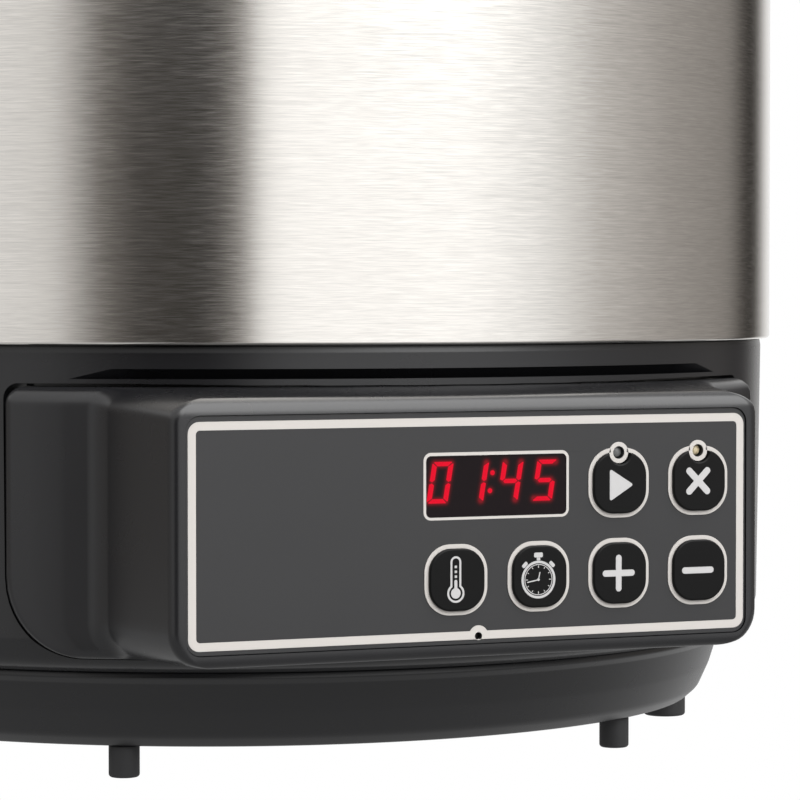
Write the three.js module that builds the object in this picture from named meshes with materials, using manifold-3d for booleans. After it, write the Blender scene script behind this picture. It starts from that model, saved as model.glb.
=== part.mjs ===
// Round slow cooker with a digital control housing, in millimetres.
// The body's axis is the Z axis, the control panel faces -Y and the feet stand on z = 0.

import * as THREE from "three";
import { mergeVertices } from "three/addons/utils/BufferGeometryUtils.js";
import Module from "manifold-3d";

const wasm = await Module();
wasm.setup();

// ---------- driving dimensions ----------

const GAP = 0.3;                 // clearance between parts that touch
const BIG_STEPS = 40;            // sides of the large turned parts
const SMALL_STEPS = 14;          // sides of knobs, feet and other small turned parts
const PIN_STEPS = 8;             // sides of screws and pins

const WALL_R = 155;              // steel wall, outside radius
const WALL_T = 1.2;
const WALL_LOW = 109.7;
const WALL_TOP = 258;

const BAND_R = 152.5;            // base band, outside radius at its top
const BAND_LOW_R = 151.5;        // and just above its rounded lower edge
const BAND_TOP = 109.4;
const BAND_LOW = 28.6;
const LEDGE_Z = 56;              // ledge inside the band that carries the heat shield

const SHELL_LOW = 8.5;           // underside of the bottom shell
const SHELL_T = 2.6;
const SCREW_R = 116;             // circle of the shell screws
const SCREW_ANGLES = [45, 135, 225, 315];
const HEAD_TOP = 9.8;            // where a screw head bears on the shell, inside its counterbore

const FOOT_R = 126.3;            // circle of the feet
const PEG_ANGLES = [-33.7, 33.7];
const FOOT_ANGLES = [-67.6, 67.6, 140, 220];
const PEG_RADIUS = 3.95;
const BROAD_FOOT_RADIUS = 6;

const PANEL_Y = -164.6;          // face of the fascia plate
const PAD_ANGLE = 42.0;          // half angle that the housing's pad spans
const PAD_R = 158;               // outside radius of the pad
const PAD_LOW = 31;
const PAD_TOP = 99.8;
const BOX_FRONT = -165;          // front face of the housing's box
const BOX_HALF_FRONT = 79.5;
const BOX_HALF_BACK = 86;
const BOX_LOW = 33.6;
const BOX_TOP = 98.8;
const HOUSING_T = 2.5;

const FASCIA_HALF = 76.05;
const FASCIA_LOW = 36.3;
const FASCIA_TOP = 93.4;
const FASCIA_T = 1.5;
const NOTCH = { x: 0.8, z: 38.2, r: 1 };

const WINDOW = { left: -13.35, right: 24.96, low: 67.53, top: 82.77 };

const BUTTON_HALF_W = 7.45;      // half width and half height of a button cap
const BUTTON_HALF_H = 7.7;
const BUTTON_CORNER = 5.9;       // radius between the flats of its outline
const BUTTON_PROUD = 1.3;        // how far a cap stands in front of the fascia
const BUTTONS = [
  { name: "temperature", x: -5.4, z: 52.3, light: false },
  { name: "timer", x: 17.2, z: 52.4, light: false },
  { name: "plus", x: 39.6, z: 52.5, light: false },
  { name: "minus", x: 62.2, z: 52.5, light: false },
  { name: "play", x: 39.6, z: 75.2, light: true },
  { name: "cancel", x: 62.2, z: 75.3, light: true },
];
const LIGHT_ABOVE = 7.55;        // indicator light above the centre of its button
const LIGHT_RING_R = 2.7;
const LIGHT_R = 1.45;
const BOARD_FRONT = -156;        // face of the control board
const BOARD_T = 1.6;

const LINER_R = 131;             // heating liner, inside radius
const LINER_T = 1.2;
const LINER_LOW = 72;
const RIM_TOP = 266;             // top of the rim ring
const RIM_R = 156.6;

const CROCK_R = 127;             // crock, outside radius of its wall
const CROCK_T = 6;
const CROCK_LOW = 76;
const CROCK_FLOOR = 84;
const CROCK_TOP = 274;
const CROCK_FLANGE_R = 148;

const LID_SEAT = 270.3;          // underside of the lid's rim band
const LID_R = 139;
const GLASS_T = 4;
const GLASS_CENTRE_TOP = 301;
const KNOB_R = 24;
const KNOB_TOP = 333;

const HANDLE_LOW = 223;
const HANDLE_TOP = 247;
const HANDLE_REACH = 190;        // outermost point of a handle
const HANDLE_SCREW_Y = 42;

const INLET_Z = 66;              // centre of the mains inlet at the back
const REAR_FACE = 165.9;

// ---------- materials ----------

const finish = (color, roughness, metalness = 0) =>
  new THREE.MeshStandardMaterial({ color, roughness, metalness });

const brushedSteel = finish(0xb9b4ae, 0.32, 1);
const basePlastic = finish(0x2f3032, 0.42);
const fasciaPlastic = finish(0x444446, 0.55);
const capRubber = finish(0x161617, 0.38);
const footRubber = finish(0x1c1c1d, 0.8);
const smokedGlass = finish(0x1a1012, 0.12);
const clearLens = finish(0xbfb8a8, 0.25);
const circuitBoard = finish(0x1f5a35, 0.6);
const electronics = finish(0x202224, 0.5);
const aluminium = finish(0xa9acae, 0.45, 1);
const zincSteel = finish(0x9a9ca0, 0.4, 1);
const stoneware = finish(0x151414, 0.15);
const lidGlass = new THREE.MeshStandardMaterial({
  color: 0xdfe9e6, roughness: 0.05, transparent: true, opacity: 0.35,
});

// ---------- geometry helpers ----------

const radians = (degrees) => degrees * Math.PI / 180;

// Merge shared corners, keep position only and drop faces that have collapsed to a line.
function weld(geometry) {
  const bare = geometry.clone();
  bare.deleteAttribute("normal");
  bare.deleteAttribute("uv");
  const merged = mergeVertices(bare, 1e-4);
  const corners = merged.index.array;
  const kept = [];
  for (let i = 0; i < corners.length; i += 3) {
    const [a, b, c] = corners.slice(i, i + 3);
    if (a !== b && b !== c && c !== a) kept.push(a, b, c);
  }
  merged.setIndex(kept);
  return merged;
}

function toSolid(geometry) {
  const welded = weld(geometry);
  const vertProperties = new Float32Array(welded.attributes.position.array);
  const triVerts = new Uint32Array(welded.index.array);
  return new wasm.Manifold(new wasm.Mesh({ numProp: 3, vertProperties, triVerts }));
}

function fromSolid(solid) {
  const mesh = solid.getMesh();
  const geometry = new THREE.BufferGeometry();
  geometry.setAttribute("position", new THREE.BufferAttribute(new Float32Array(mesh.vertProperties), 3));
  geometry.setIndex([...mesh.triVerts]);
  return geometry;
}

const cut = (geometry, ...tools) =>
  fromSolid(tools.reduce((solid, tool) => solid.subtract(toSolid(tool)), toSolid(geometry)));

const join = (geometry, ...others) =>
  fromSolid(others.reduce((solid, other) => solid.add(toSolid(other)), toSolid(geometry)));

const common = (a, b) => fromSolid(toSolid(a).intersect(toSolid(b)));

// A body turned round the Z axis from [radius, height] points. A profile that starts and ends on
// the axis is a full body, and any other profile is closed to make a ring.
function turned(profile, steps = BIG_STEPS) {
  const twiceArea = profile.reduce((sum, [r, z], i) => {
    const [nextR, nextZ] = profile[(i + 1) % profile.length];
    return sum + r * nextZ - nextR * z;
  }, 0);
  const ordered = twiceArea < 0 ? [...profile].reverse() : [...profile];
  const onAxis = ordered[0][0] === 0 && ordered.at(-1)[0] === 0;
  if (!onAxis) ordered.push(ordered[0]);
  const points = ordered.map(([r, z]) => new THREE.Vector2(r, z));
  return new THREE.LatheGeometry(points, steps).rotateX(Math.PI / 2);
}

const disc = (radius, low, top, steps = BIG_STEPS) =>
  turned([[0, low], [radius, low], [radius, top], [0, top]], steps);

// A front-view outline (x to the right, z up) given depth from `back` to `front` along -Y.
function facing(shape, back, front, curveSegments = 2) {
  const options = { depth: back - front, bevelEnabled: false, curveSegments };
  return new THREE.ExtrudeGeometry(shape, options).rotateX(Math.PI / 2).translate(0, back, 0);
}

// A plan outline (x, y) given height from `low` to `top`.
function upright(shape, low, top, curveSegments = 3) {
  const options = { depth: top - low, bevelEnabled: false, curveSegments };
  return new THREE.ExtrudeGeometry(shape, options).translate(0, 0, low);
}

function block(x0, x1, y0, y1, z0, z1) {
  const box = new THREE.BoxGeometry(x1 - x0, y1 - y0, z1 - z0);
  return box.translate((x0 + x1) / 2, (y0 + y1) / 2, (z0 + z1) / 2);
}

// A rounded rectangle whose lower and upper corners may have different radii.
function rounded(left, right, low, top, lowRadius, topRadius = lowRadius) {
  const shape = new THREE.Shape();
  shape.moveTo(left + lowRadius, low);
  shape.lineTo(right - lowRadius, low);
  shape.absarc(right - lowRadius, low + lowRadius, lowRadius, -Math.PI / 2, 0);
  shape.lineTo(right, top - topRadius);
  shape.absarc(right - topRadius, top - topRadius, topRadius, 0, Math.PI / 2);
  shape.lineTo(left + topRadius, top);
  shape.absarc(left + topRadius, top - topRadius, topRadius, Math.PI / 2, Math.PI);
  shape.lineTo(left, low + lowRadius);
  shape.absarc(left + lowRadius, low + lowRadius, lowRadius, Math.PI, 1.5 * Math.PI);
  return shape;
}

// A button's outline, a circle with four short flats, grown by `extra` all round.
function buttonOutline(extra = 0) {
  const halfW = BUTTON_HALF_W + extra;
  const halfH = BUTTON_HALF_H + extra;
  return rounded(-halfW, halfW, -halfH, halfH, BUTTON_CORNER + extra);
}

// A rod along -Y from `back` to `front`, centred on (x, z).
const rodFacing = (radius, x, z, back, front, steps = PIN_STEPS) =>
  disc(radius, 0, back - front, steps).rotateX(Math.PI / 2).translate(x, back, z);

// A rod along X between two stations, centred on (y, z).
const rodAcross = (radius, x0, x1, y, z, steps = PIN_STEPS) =>
  disc(radius, 0, x1 - x0, steps).rotateY(Math.PI / 2).translate(x0, y, z);

// The point on a circle at an angle from the front, positive towards +X.
const around = (radius, degrees) =>
  [radius * Math.sin(radians(degrees)), -radius * Math.cos(radians(degrees))];

// ---------- assembly ----------

const cooker = new THREE.Group();

function add(name, geometry, material, position = [0, 0, 0], rotation = [0, 0, 0]) {
  const mesh = new THREE.Mesh(weld(geometry), material);
  mesh.name = name;
  mesh.position.set(...position);
  mesh.rotation.set(...rotation);
  cooker.add(mesh);
}

// ---------- outer casing ----------

// Sheet wall with an inward lip at both ends and clearance holes for the handle screws.
function steelWall() {
  const inside = WALL_R - WALL_T;
  const lipR = WALL_R - 6;
  const shell = turned([
    [lipR, WALL_LOW], [WALL_R, WALL_LOW], [WALL_R, WALL_TOP], [lipR, WALL_TOP],
    [lipR, WALL_TOP - WALL_T], [inside, WALL_TOP - WALL_T],
    [inside, WALL_LOW + WALL_T], [lipR, WALL_LOW + WALL_T],
  ]);
  const holeZ = (HANDLE_LOW + HANDLE_TOP) / 2;
  const holes = [-1, 1].map((side) =>
    rodAcross(2.3, -WALL_R - 5, WALL_R + 5, side * HANDLE_SCREW_Y, holeZ));
  return cut(shell, ...holes);
}

// The cutter that leaves a shallow groove, deepest at the front and running out to both sides.
function grooveCutter() {
  const depth = 4.2;
  const offset = 23;
  const floor = offset + BAND_R - depth;
  const profile = [[floor, 101.4], [floor + 14, 101.4], [floor + 14, 104.4], [floor + 2.6, 104.4]];
  return turned(profile).translate(0, offset, 0);
}

// Four posts that take the bottom screws, each tied to the band's wall by a rib.
function shellPosts() {
  const postTop = 50;
  return SCREW_ANGLES.flatMap((degrees) => {
    const [x, y] = around(SCREW_R, degrees);
    const post = disc(5, SHELL_LOW + SHELL_T + GAP, postTop, SMALL_STEPS).translate(x, y, 0);
    const rib = block(-1.25, 1.25, -BAND_LOW_R + 2, -SCREW_R, 36, postTop)
      .rotateZ(radians(degrees));
    return [post, rib];
  });
}

function baseBand() {
  const inner = BAND_LOW_R - 3;
  const ring = turned([
    [141.2, BAND_LOW], [144.2, BAND_LOW], [149, 31], [BAND_LOW_R, 36.2],
    [BAND_R - 0.2, BAND_TOP - 0.9], [BAND_R - 1.2, BAND_TOP], [147.5, BAND_TOP], [147.5, 116],
    [144.5, 116], [144.5, 98], [inner, 94], [inner, LEDGE_Z], [140, LEDGE_Z], [140, LEDGE_Z - 3],
    [inner, LEDGE_Z - 6], [inner, 37], [141.2, 31.4],
  ]);
  const posts = shellPosts();
  const pilots = SCREW_ANGLES.map((degrees) => {
    const [x, y] = around(SCREW_R, degrees);
    return disc(2, 0, 42, PIN_STEPS).translate(x, y, 0);
  });
  const cableWindow = block(-30, 30, -160, -130, 60, 84);
  const inletWindow = block(-13, 13, 130, 160, INLET_Z - 7, INLET_Z + 7);
  return cut(join(ring, ...posts), ...pilots, grooveCutter(), cableWindow, inletWindow);
}

// Lower bowl with a beaded lip that tucks under the band, and holes for foot stems and for
// screws, whose heads are sunk in counterbores.
function bottomShell() {
  const floorTop = SHELL_LOW + SHELL_T;
  const bowl = turned([
    [0, SHELL_LOW], [130.2, SHELL_LOW], [133.5, 11.1], [136.8, 17.5], [139.8, 25.6], [141.9, 27.5],
    [141.3, BAND_LOW - GAP], [140.4, BAND_LOW - GAP], [140.4, 36], [137.8, 36], [137.2, 27],
    [133.8, 17.5], [129, floorTop], [0, floorTop],
  ]);
  const screwHoles = SCREW_ANGLES.map((degrees) => {
    const [x, y] = around(SCREW_R, degrees);
    return join(disc(2.2, 0, 20, PIN_STEPS), disc(4.5, 0, HEAD_TOP + GAP, PIN_STEPS))
      .translate(x, y, 0);
  });
  const stemHoles = [...PEG_ANGLES, ...FOOT_ANGLES].map((degrees) => {
    const [x, y] = around(FOOT_R, degrees);
    return disc(2.3, 0, 20, PIN_STEPS).translate(x, y, 0);
  });
  return cut(bowl, ...screwHoles, ...stemHoles);
}

function shellScrew() {
  const headLow = SHELL_LOW + 0.2;
  return turned([
    [0, headLow], [3.6, headLow], [4, headLow + 0.4], [4, HEAD_TOP], [1.6, HEAD_TOP], [1.6, 38],
    [0, 40],
  ], PIN_STEPS);
}

// A foot with a stem that is pushed through the bottom shell.
function foot(radius) {
  const top = SHELL_LOW - GAP;
  return turned([
    [0, 0], [radius - 0.8, 0], [radius, 0.9], [radius, top], [1.9, top],
    [1.9, 14], [0, 14],
  ], SMALL_STEPS);
}

// ---------- control housing ----------

// Narrow the box from its back to its front by moving each point towards the centre line.
function draft(geometry, back, front) {
  const position = geometry.attributes.position;
  for (let i = 0; i < position.count; i += 1) {
    const forward = (back - position.getY(i)) / (back - front);
    const scale = 1 - forward * (1 - BOX_HALF_FRONT / BOX_HALF_BACK);
    position.setX(i, position.getX(i) * scale);
  }
  return geometry;
}

// The outside or, with a positive inset, the inside of the pad and box together.
function housingBody(inset) {
  const halfPad = BAND_R * Math.sin(radians(PAD_ANGLE)) - inset;
  const padOutline = rounded(-halfPad, halfPad, PAD_LOW + inset, PAD_TOP - inset, 19, 4);
  const padSlice = disc(PAD_R - inset, PAD_LOW - 5, PAD_TOP + 5);
  const pad = common(facing(padOutline, -90, -170, 4), padSlice);
  const back = -118;
  const front = BOX_FRONT + inset;
  const halfBack = BOX_HALF_BACK - inset;
  const chamfer = 2;
  const low = BOX_LOW + inset;
  const top = BOX_TOP - inset;
  const body = facing(rounded(-halfBack, halfBack, low, top, 9), back, front + chamfer, 3);
  const options = {
    depth: 0.2, bevelThickness: chamfer - 0.2, bevelSize: chamfer, bevelOffset: -chamfer,
    bevelSegments: 1, curveSegments: 3,
  };
  const nose = new THREE.ExtrudeGeometry(rounded(-halfBack, halfBack, low, top, 9), options)
    .rotateX(Math.PI / 2).translate(0, front + chamfer, 0);
  return join(pad, draft(join(body, nose), back, front));
}

function controlHousing() {
  const bandSpace = disc(BAND_R + GAP, 0, 200);
  const shell = cut(housingBody(0), bandSpace, housingBody(HOUSING_T));
  const recess = facing(
    rounded(-FASCIA_HALF - GAP, FASCIA_HALF + GAP, FASCIA_LOW - GAP, FASCIA_TOP + GAP, 4),
    PANEL_Y + FASCIA_T + GAP, BOX_FRONT - 2);
  const keyWindow = facing(rounded(-19, 73, 41, 88, 3), -150, BOX_FRONT - 2);
  return cut(shell, recess, keyWindow);
}

function fasciaPlate() {
  const back = PANEL_Y + FASCIA_T;
  const plate = facing(
    rounded(-FASCIA_HALF, FASCIA_HALF, FASCIA_LOW, FASCIA_TOP, 3.7), back, PANEL_Y);
  const openings = BUTTONS.map((button) => {
    const opening = facing(buttonOutline(GAP), back + 1, PANEL_Y - 1).translate(button.x, 0, button.z);
    if (!button.light) return opening;
    const lightZ = button.z + LIGHT_ABOVE;
    return cut(opening, rodFacing(LIGHT_RING_R, button.x, lightZ, back + 2, PANEL_Y - 2, SMALL_STEPS));
  });
  const lightHoles = BUTTONS.filter((button) => button.light).map((button) =>
    rodFacing(LIGHT_R + GAP, button.x, button.z + LIGHT_ABOVE, back + 1, PANEL_Y - 1));
  const windowHole = facing(
    rounded(WINDOW.left - GAP, WINDOW.right + GAP, WINDOW.low - GAP, WINDOW.top + GAP, 1.6),
    back + 1, PANEL_Y - 1);
  const notch = rodFacing(NOTCH.r, NOTCH.x, NOTCH.z, back + 1, PANEL_Y - 1);
  return cut(plate, windowHole, notch, ...openings, ...lightHoles);
}

function displayWindow() {
  const outline = rounded(WINDOW.left, WINDOW.right, WINDOW.low, WINDOW.top, 1.3);
  return facing(outline, PANEL_Y + FASCIA_T, PANEL_Y + 0.2);
}

function displayModule() {
  const back = BOARD_FRONT - GAP;
  return block(WINDOW.left - 1, WINDOW.right + 1, PANEL_Y + FASCIA_T + GAP, back,
    WINDOW.low - 1, WINDOW.top + 1);
}

// Cap, retaining flange behind the fascia and stem down to the switch, centred on its own axis.
function buttonCap(light) {
  const fasciaBack = PANEL_Y + FASCIA_T;
  const face = PANEL_Y - BUTTON_PROUD;
  const dome = 0.5;
  const body = facing(buttonOutline(), fasciaBack + 0.5, face + dome);
  const crown = facing(buttonOutline(-1.6), face + dome + 0.2, face);
  const flange = facing(buttonOutline(0.9), fasciaBack + 1.3, fasciaBack + GAP);
  const stem = rodFacing(2, 0, 0, -160.6, fasciaBack + 1);
  const cap = join(body, crown, flange, stem);
  if (!light) return cap;
  return cut(cap, rodFacing(LIGHT_RING_R + GAP, 0, LIGHT_ABOVE, -150, -170, SMALL_STEPS));
}

// Tact switch on the board: a square case with a short plunger.
function tactSwitch() {
  const caseFront = BOARD_FRONT - GAP - 2.6;
  const body = block(-3, 3, caseFront, BOARD_FRONT - GAP, -3, 3);
  return join(body, rodFacing(1.6, 0, 0, caseFront + 0.5, caseFront - 0.6));
}

const lightPipe = () => rodFacing(LIGHT_R, 0, 0, BOARD_FRONT - GAP, PANEL_Y + 0.4);

function controlBoard() {
  const board = block(-30, 72, BOARD_FRONT, BOARD_FRONT + BOARD_T, 43, 89);
  const holes = [[-27, 46], [69, 46], [-27, 86], [69, 86]].map(([x, z]) =>
    rodFacing(1.6, x, z, BOARD_FRONT + 5, BOARD_FRONT - 5));
  return cut(board, ...holes);
}

// ---------- heating ----------

function heatingLiner() {
  const outside = LINER_R + LINER_T;
  const flangeLow = WALL_TOP + GAP;
  return turned([
    [0, LINER_LOW], [LINER_R - 6, LINER_LOW], [outside, LINER_LOW + 7], [outside, flangeLow],
    [150, flangeLow], [150, flangeLow + LINER_T], [LINER_R, flangeLow + LINER_T],
    [LINER_R, LINER_LOW + 7.6], [LINER_R - 6.5, LINER_LOW + LINER_T], [0, LINER_LOW + LINER_T],
  ]);
}

// Rim ring that caps the wall and the liner and drops a short skirt outside the wall.
function topRim() {
  const low = WALL_TOP + LINER_T + 2 * GAP;
  const skirtLow = WALL_TOP - 6;
  return turned([
    [WALL_R + GAP, skirtLow], [RIM_R, skirtLow], [RIM_R, RIM_TOP - 2], [RIM_R - 2, RIM_TOP],
    [LINER_R + 3.5, RIM_TOP], [LINER_R + 2, RIM_TOP - 1.5], [LINER_R + 2, low], [WALL_R + GAP, low],
  ]);
}

function sideHeater() {
  const inside = LINER_R + LINER_T + GAP;
  return turned([[inside, 90], [inside + 2, 90], [inside + 2, 150], [inside, 150]]);
}

function bottomHeater() {
  const top = LINER_LOW - GAP;
  return turned([[40, top - 5], [95, top - 5], [95, top], [40, top]], 30);
}

function heatShield() {
  const low = LEDGE_Z + GAP;
  return turned([
    [10, low], [146, low], [146, low + 6], [145, low + 6], [145, low + 1], [10, low + 1],
  ]);
}

function temperatureSensor() {
  const low = LEDGE_Z + GAP + 1 + GAP;
  const top = LINER_LOW - GAP;
  return turned([[0, low], [13, low], [13, low + 2], [6, low + 3], [6, top], [0, top]], SMALL_STEPS);
}

// ---------- power electronics ----------

function powerBoard() {
  const low = SHELL_LOW + SHELL_T + GAP;
  const board = block(-45, 45, -55, 15, low + 6, low + 7.6);
  const spacers = [[-38, -48], [38, -48], [-38, 8], [38, 8]].map(([x, y]) =>
    disc(3, low, low + 7, PIN_STEPS).translate(x, y, 0));
  return join(board, ...spacers);
}

const boardTop = SHELL_LOW + SHELL_T + GAP + 7.6 + GAP;
const transformer = () => block(-36, -8, -44, -12, boardTop, boardTop + 24);
const relay = () => block(8, 28, -44, -28, boardTop, boardTop + 16);

// ---------- mains inlet ----------

function rearHousing() {
  const outline = rounded(-24, 24, INLET_Z - 18, INLET_Z + 18, 6);
  const boss = facing(outline, REAR_FACE, 120);
  const hollow = facing(rounded(-15, 15, INLET_Z - 11.2, INLET_Z + 11.2, 3), REAR_FACE + 5, 110);
  return cut(boss, disc(BAND_R + GAP, 0, 200), hollow);
}

function inletBody() {
  const flangeLow = 154;
  const shell = facing(
    rounded(-15 + GAP, 15 - GAP, INLET_Z - 11.2 + GAP, INLET_Z + 11.2 - GAP, 2.7), REAR_FACE - 0.6,
    flangeLow);
  const socket = facing(
    rounded(-12.2, 12.2, INLET_Z - 8.2, INLET_Z + 8.2, 3), REAR_FACE + 5, flangeLow + 2);
  const pinHoles = inletPinPlaces().map(([x, z]) => block(
    x - 1.5, x + 1.5, flangeLow - 5, flangeLow + 5, z - 2.5, z + 2.5));
  return cut(shell, socket, ...pinHoles);
}

function inletPinPlaces() {
  return [[-7, INLET_Z - 2], [7, INLET_Z - 2], [0, INLET_Z + 2]];
}

// Flat blade through the socket's floor, centred on its own axis.
const inletPin = () => block(-1.1, 1.1, 148, 160.6, -2.1, 2.1);

// ---------- handles ----------

// Loop handle for the +X side: two arms and a grip bar, hollowed to the wall's curve.
function handle() {
  const outline = new THREE.Shape();
  outline.moveTo(130, -54);
  outline.lineTo(158, -54);
  outline.bezierCurveTo(176, -50, HANDLE_REACH, -46, HANDLE_REACH, -30);
  outline.lineTo(HANDLE_REACH, 30);
  outline.bezierCurveTo(HANDLE_REACH, 46, 176, 50, 158, 54);
  outline.lineTo(130, 54);
  const fingers = rounded(140, 176, -31, 31, 8);
  const bar = upright(outline, HANDLE_LOW, HANDLE_TOP);
  const opening = upright(fingers, HANDLE_LOW - 5, HANDLE_TOP + 5);
  const screwZ = (HANDLE_LOW + HANDLE_TOP) / 2;
  const pilots = [-1, 1].map((side) => rodAcross(2, 130, 165, side * HANDLE_SCREW_Y, screwZ));
  const wallSpace = disc(WALL_R + GAP, HANDLE_LOW - 10, HANDLE_TOP + 10);
  return cut(bar, wallSpace, opening, ...pilots);
}

// Pan-head screw from inside the wall, pointing to +X, centred on its own axis.
function handleScrew() {
  const headIn = 143.4;
  const headOut = 145.8;
  const head = rodAcross(3.6, headIn, headOut, 0, 0);
  return join(head, rodAcross(1.7, headOut - 0.5, 162, 0, 0));
}

// ---------- crock and lid ----------

// Stoneware pot with a flange that rests on the rim and an ear on each side.
function crock() {
  const inside = CROCK_R - CROCK_T;
  const flangeLow = RIM_TOP + GAP;
  const seatR = LID_R + 2;
  const pot = turned([
    [0, CROCK_LOW], [110, CROCK_LOW], [120, CROCK_LOW + 5], [CROCK_R - 1.5, CROCK_LOW + 18],
    [CROCK_R, flangeLow], [CROCK_FLANGE_R, flangeLow], [CROCK_FLANGE_R, CROCK_TOP - 2],
    [CROCK_FLANGE_R - 2, CROCK_TOP], [seatR, CROCK_TOP], [seatR, LID_SEAT - GAP],
    [inside + 3, LID_SEAT - GAP], [inside, LID_SEAT - 4], [inside - 1.5, CROCK_FLOOR + 14],
    [112, CROCK_FLOOR + 3], [100, CROCK_FLOOR], [0, CROCK_FLOOR],
  ]);
  const earTop = CROCK_TOP - 0.8;
  const earHalf = 34;
  const earReach = 163;
  const ears = upright(
    rounded(-earReach, earReach, -earHalf, earHalf, 16), flangeLow, earTop);
  const bore = disc(CROCK_FLANGE_R - 4, flangeLow - 5, earTop + 5);
  return join(pot, cut(ears, bore));
}

// Height of the glass dome's upper face at a distance from the centre.
function domeHeight(radius) {
  const edgeTop = LID_SEAT + 6;
  const rise = GLASS_CENTRE_TOP - edgeTop;
  return edgeTop + rise * (1 - (radius / LID_R) ** 2.4);
}

function lidGlassDome() {
  const stations = [0, 60, 100, 120, 135];
  const upper = stations.map((r) => [r, domeHeight(r)]).reverse();
  const lower = stations.map((r) => [r, domeHeight(r) - GLASS_T]);
  const dome = turned([...lower, ...upper]);
  const knobHole = disc(3.6, 250, 340, PIN_STEPS);
  const ventHole = disc(4.2, 250, 340, PIN_STEPS).translate(0, 72, 0);
  return cut(dome, knobHole, ventHole);
}

// Folded band round the glass edge.
function lidRimBand() {
  const glassR = 135 + GAP;
  const edgeTop = domeHeight(135) + GAP;
  const edgeLow = domeHeight(135) - GLASS_T - GAP;
  return turned([
    [131.5, LID_SEAT], [LID_R, LID_SEAT], [LID_R, edgeTop], [132.4, edgeTop + 2.6],
    [132.4, edgeTop + 1.4], [glassR, edgeTop], [glassR, edgeLow], [131.5, edgeLow],
  ]);
}

function steamVent() {
  const top = domeHeight(72);
  const low = top - GLASS_T;
  return turned([
    [1.2, low - 4], [6.4, low - 4], [6.4, low - 2.4], [3.8, low - 2],
    [3.8, top + 1.3], [6.4, top + 1.7], [6.4, top + 3.2], [5.4, top + 3.8], [1.2, top + 3.8],
  ], SMALL_STEPS).translate(0, 72, 0);
}

function knobWasher() {
  const low = GLASS_CENTRE_TOP + GAP;
  return turned([[3.2, low], [13, low], [13, low + 1.5], [3.2, low + 1.5]], SMALL_STEPS);
}

function lidKnob() {
  const low = GLASS_CENTRE_TOP + 1.5 + 2 * GAP;
  const knob = turned([
    [0, low], [15, low], [14.5, low + 3], [11, low + 7], [10.5, low + 11], [16, low + 16],
    [22, low + 19.5], [KNOB_R, low + 23], [KNOB_R - 1, KNOB_TOP - 4], [KNOB_R - 5, KNOB_TOP - 1],
    [0, KNOB_TOP],
  ], 24);
  return cut(knob, disc(2.4, low - 1, low + 15, PIN_STEPS));
}

function knobScrew() {
  const headTop = domeHeight(8) - GLASS_T - GAP - 0.2;
  return turned([
    [0, headTop - 3], [4.5, headTop - 3], [7, headTop - 1.4], [7, headTop], [2.1, headTop],
    [2.1, GLASS_CENTRE_TOP + 14], [0, GLASS_CENTRE_TOP + 15],
  ], PIN_STEPS);
}

// ---------- build ----------

function addCasing() {
  add("steel_wall", steelWall(), brushedSteel);
  add("base_band", baseBand(), basePlastic);
  add("bottom_shell", bottomShell(), basePlastic);
  add("top_rim", topRim(), brushedSteel);
  PEG_ANGLES.forEach((degrees, i) => {
    const [x, y] = around(FOOT_R, degrees);
    add(`front_peg_${i + 1}`, foot(PEG_RADIUS), footRubber, [x, y, 0]);
  });
  FOOT_ANGLES.forEach((degrees, i) => {
    const [x, y] = around(FOOT_R, degrees);
    add(`foot_${i + 1}`, foot(BROAD_FOOT_RADIUS), footRubber, [x, y, 0]);
  });
  SCREW_ANGLES.forEach((degrees, i) => {
    const [x, y] = around(SCREW_R, degrees);
    add(`bottom_screw_${i + 1}`, shellScrew(), zincSteel, [x, y, 0]);
  });
}

function addControls() {
  add("control_housing", controlHousing(), basePlastic);
  add("fascia_plate", fasciaPlate(), fasciaPlastic);
  add("display_window", displayWindow(), smokedGlass);
  add("display_module", displayModule(), electronics);
  add("control_board", controlBoard(), circuitBoard);
  for (const button of BUTTONS) {
    add(`button_${button.name}`, buttonCap(button.light), capRubber, [button.x, 0, button.z]);
    add(`switch_${button.name}`, tactSwitch(), electronics, [button.x, 0, button.z]);
    if (button.light) {
      add(`light_${button.name}`, lightPipe(), clearLens, [button.x, 0, button.z + LIGHT_ABOVE]);
    }
  }
}

function addHeating() {
  add("heating_liner", heatingLiner(), aluminium);
  add("side_heater", sideHeater(), zincSteel);
  add("bottom_heater", bottomHeater(), zincSteel);
  add("heat_shield", heatShield(), zincSteel);
  add("temperature_sensor", temperatureSensor(), aluminium);
  const fuseLow = LEDGE_Z + GAP + 1 + GAP;
  add("thermal_fuse", rodAcross(2.5, -14, 14, 0, 0), electronics, [0, 60, fuseLow + 2.5]);
}

function addPower() {
  add("power_board", powerBoard(), circuitBoard);
  add("transformer", transformer(), electronics);
  add("relay", relay(), electronics);
  add("rear_housing", rearHousing(), basePlastic);
  add("inlet_body", inletBody(), electronics);
  inletPinPlaces().forEach(([x, z], i) => {
    add(`inlet_pin_${i + 1}`, inletPin(), zincSteel, [x, 0, z]);
  });
}

function addHandles() {
  const screwZ = (HANDLE_LOW + HANDLE_TOP) / 2;
  [["right", 0], ["left", Math.PI]].forEach(([side, turn]) => {
    add(`handle_${side}`, handle(), basePlastic, [0, 0, 0], [0, 0, turn]);
    [-1, 1].forEach((end, i) => {
      const y = end * HANDLE_SCREW_Y * Math.cos(turn);
      add(`handle_screw_${side}_${i + 1}`, handleScrew(), zincSteel, [0, y, screwZ], [0, 0, turn]);
    });
  });
}

function addCrockAndLid() {
  add("crock", crock(), stoneware);
  add("lid_glass", lidGlassDome(), lidGlass);
  add("lid_rim_band", lidRimBand(), brushedSteel);
  add("steam_vent", steamVent(), footRubber);
  add("knob_washer", knobWasher(), footRubber);
  add("lid_knob", lidKnob(), basePlastic);
  add("knob_screw", knobScrew(), zincSteel);
}

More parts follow.
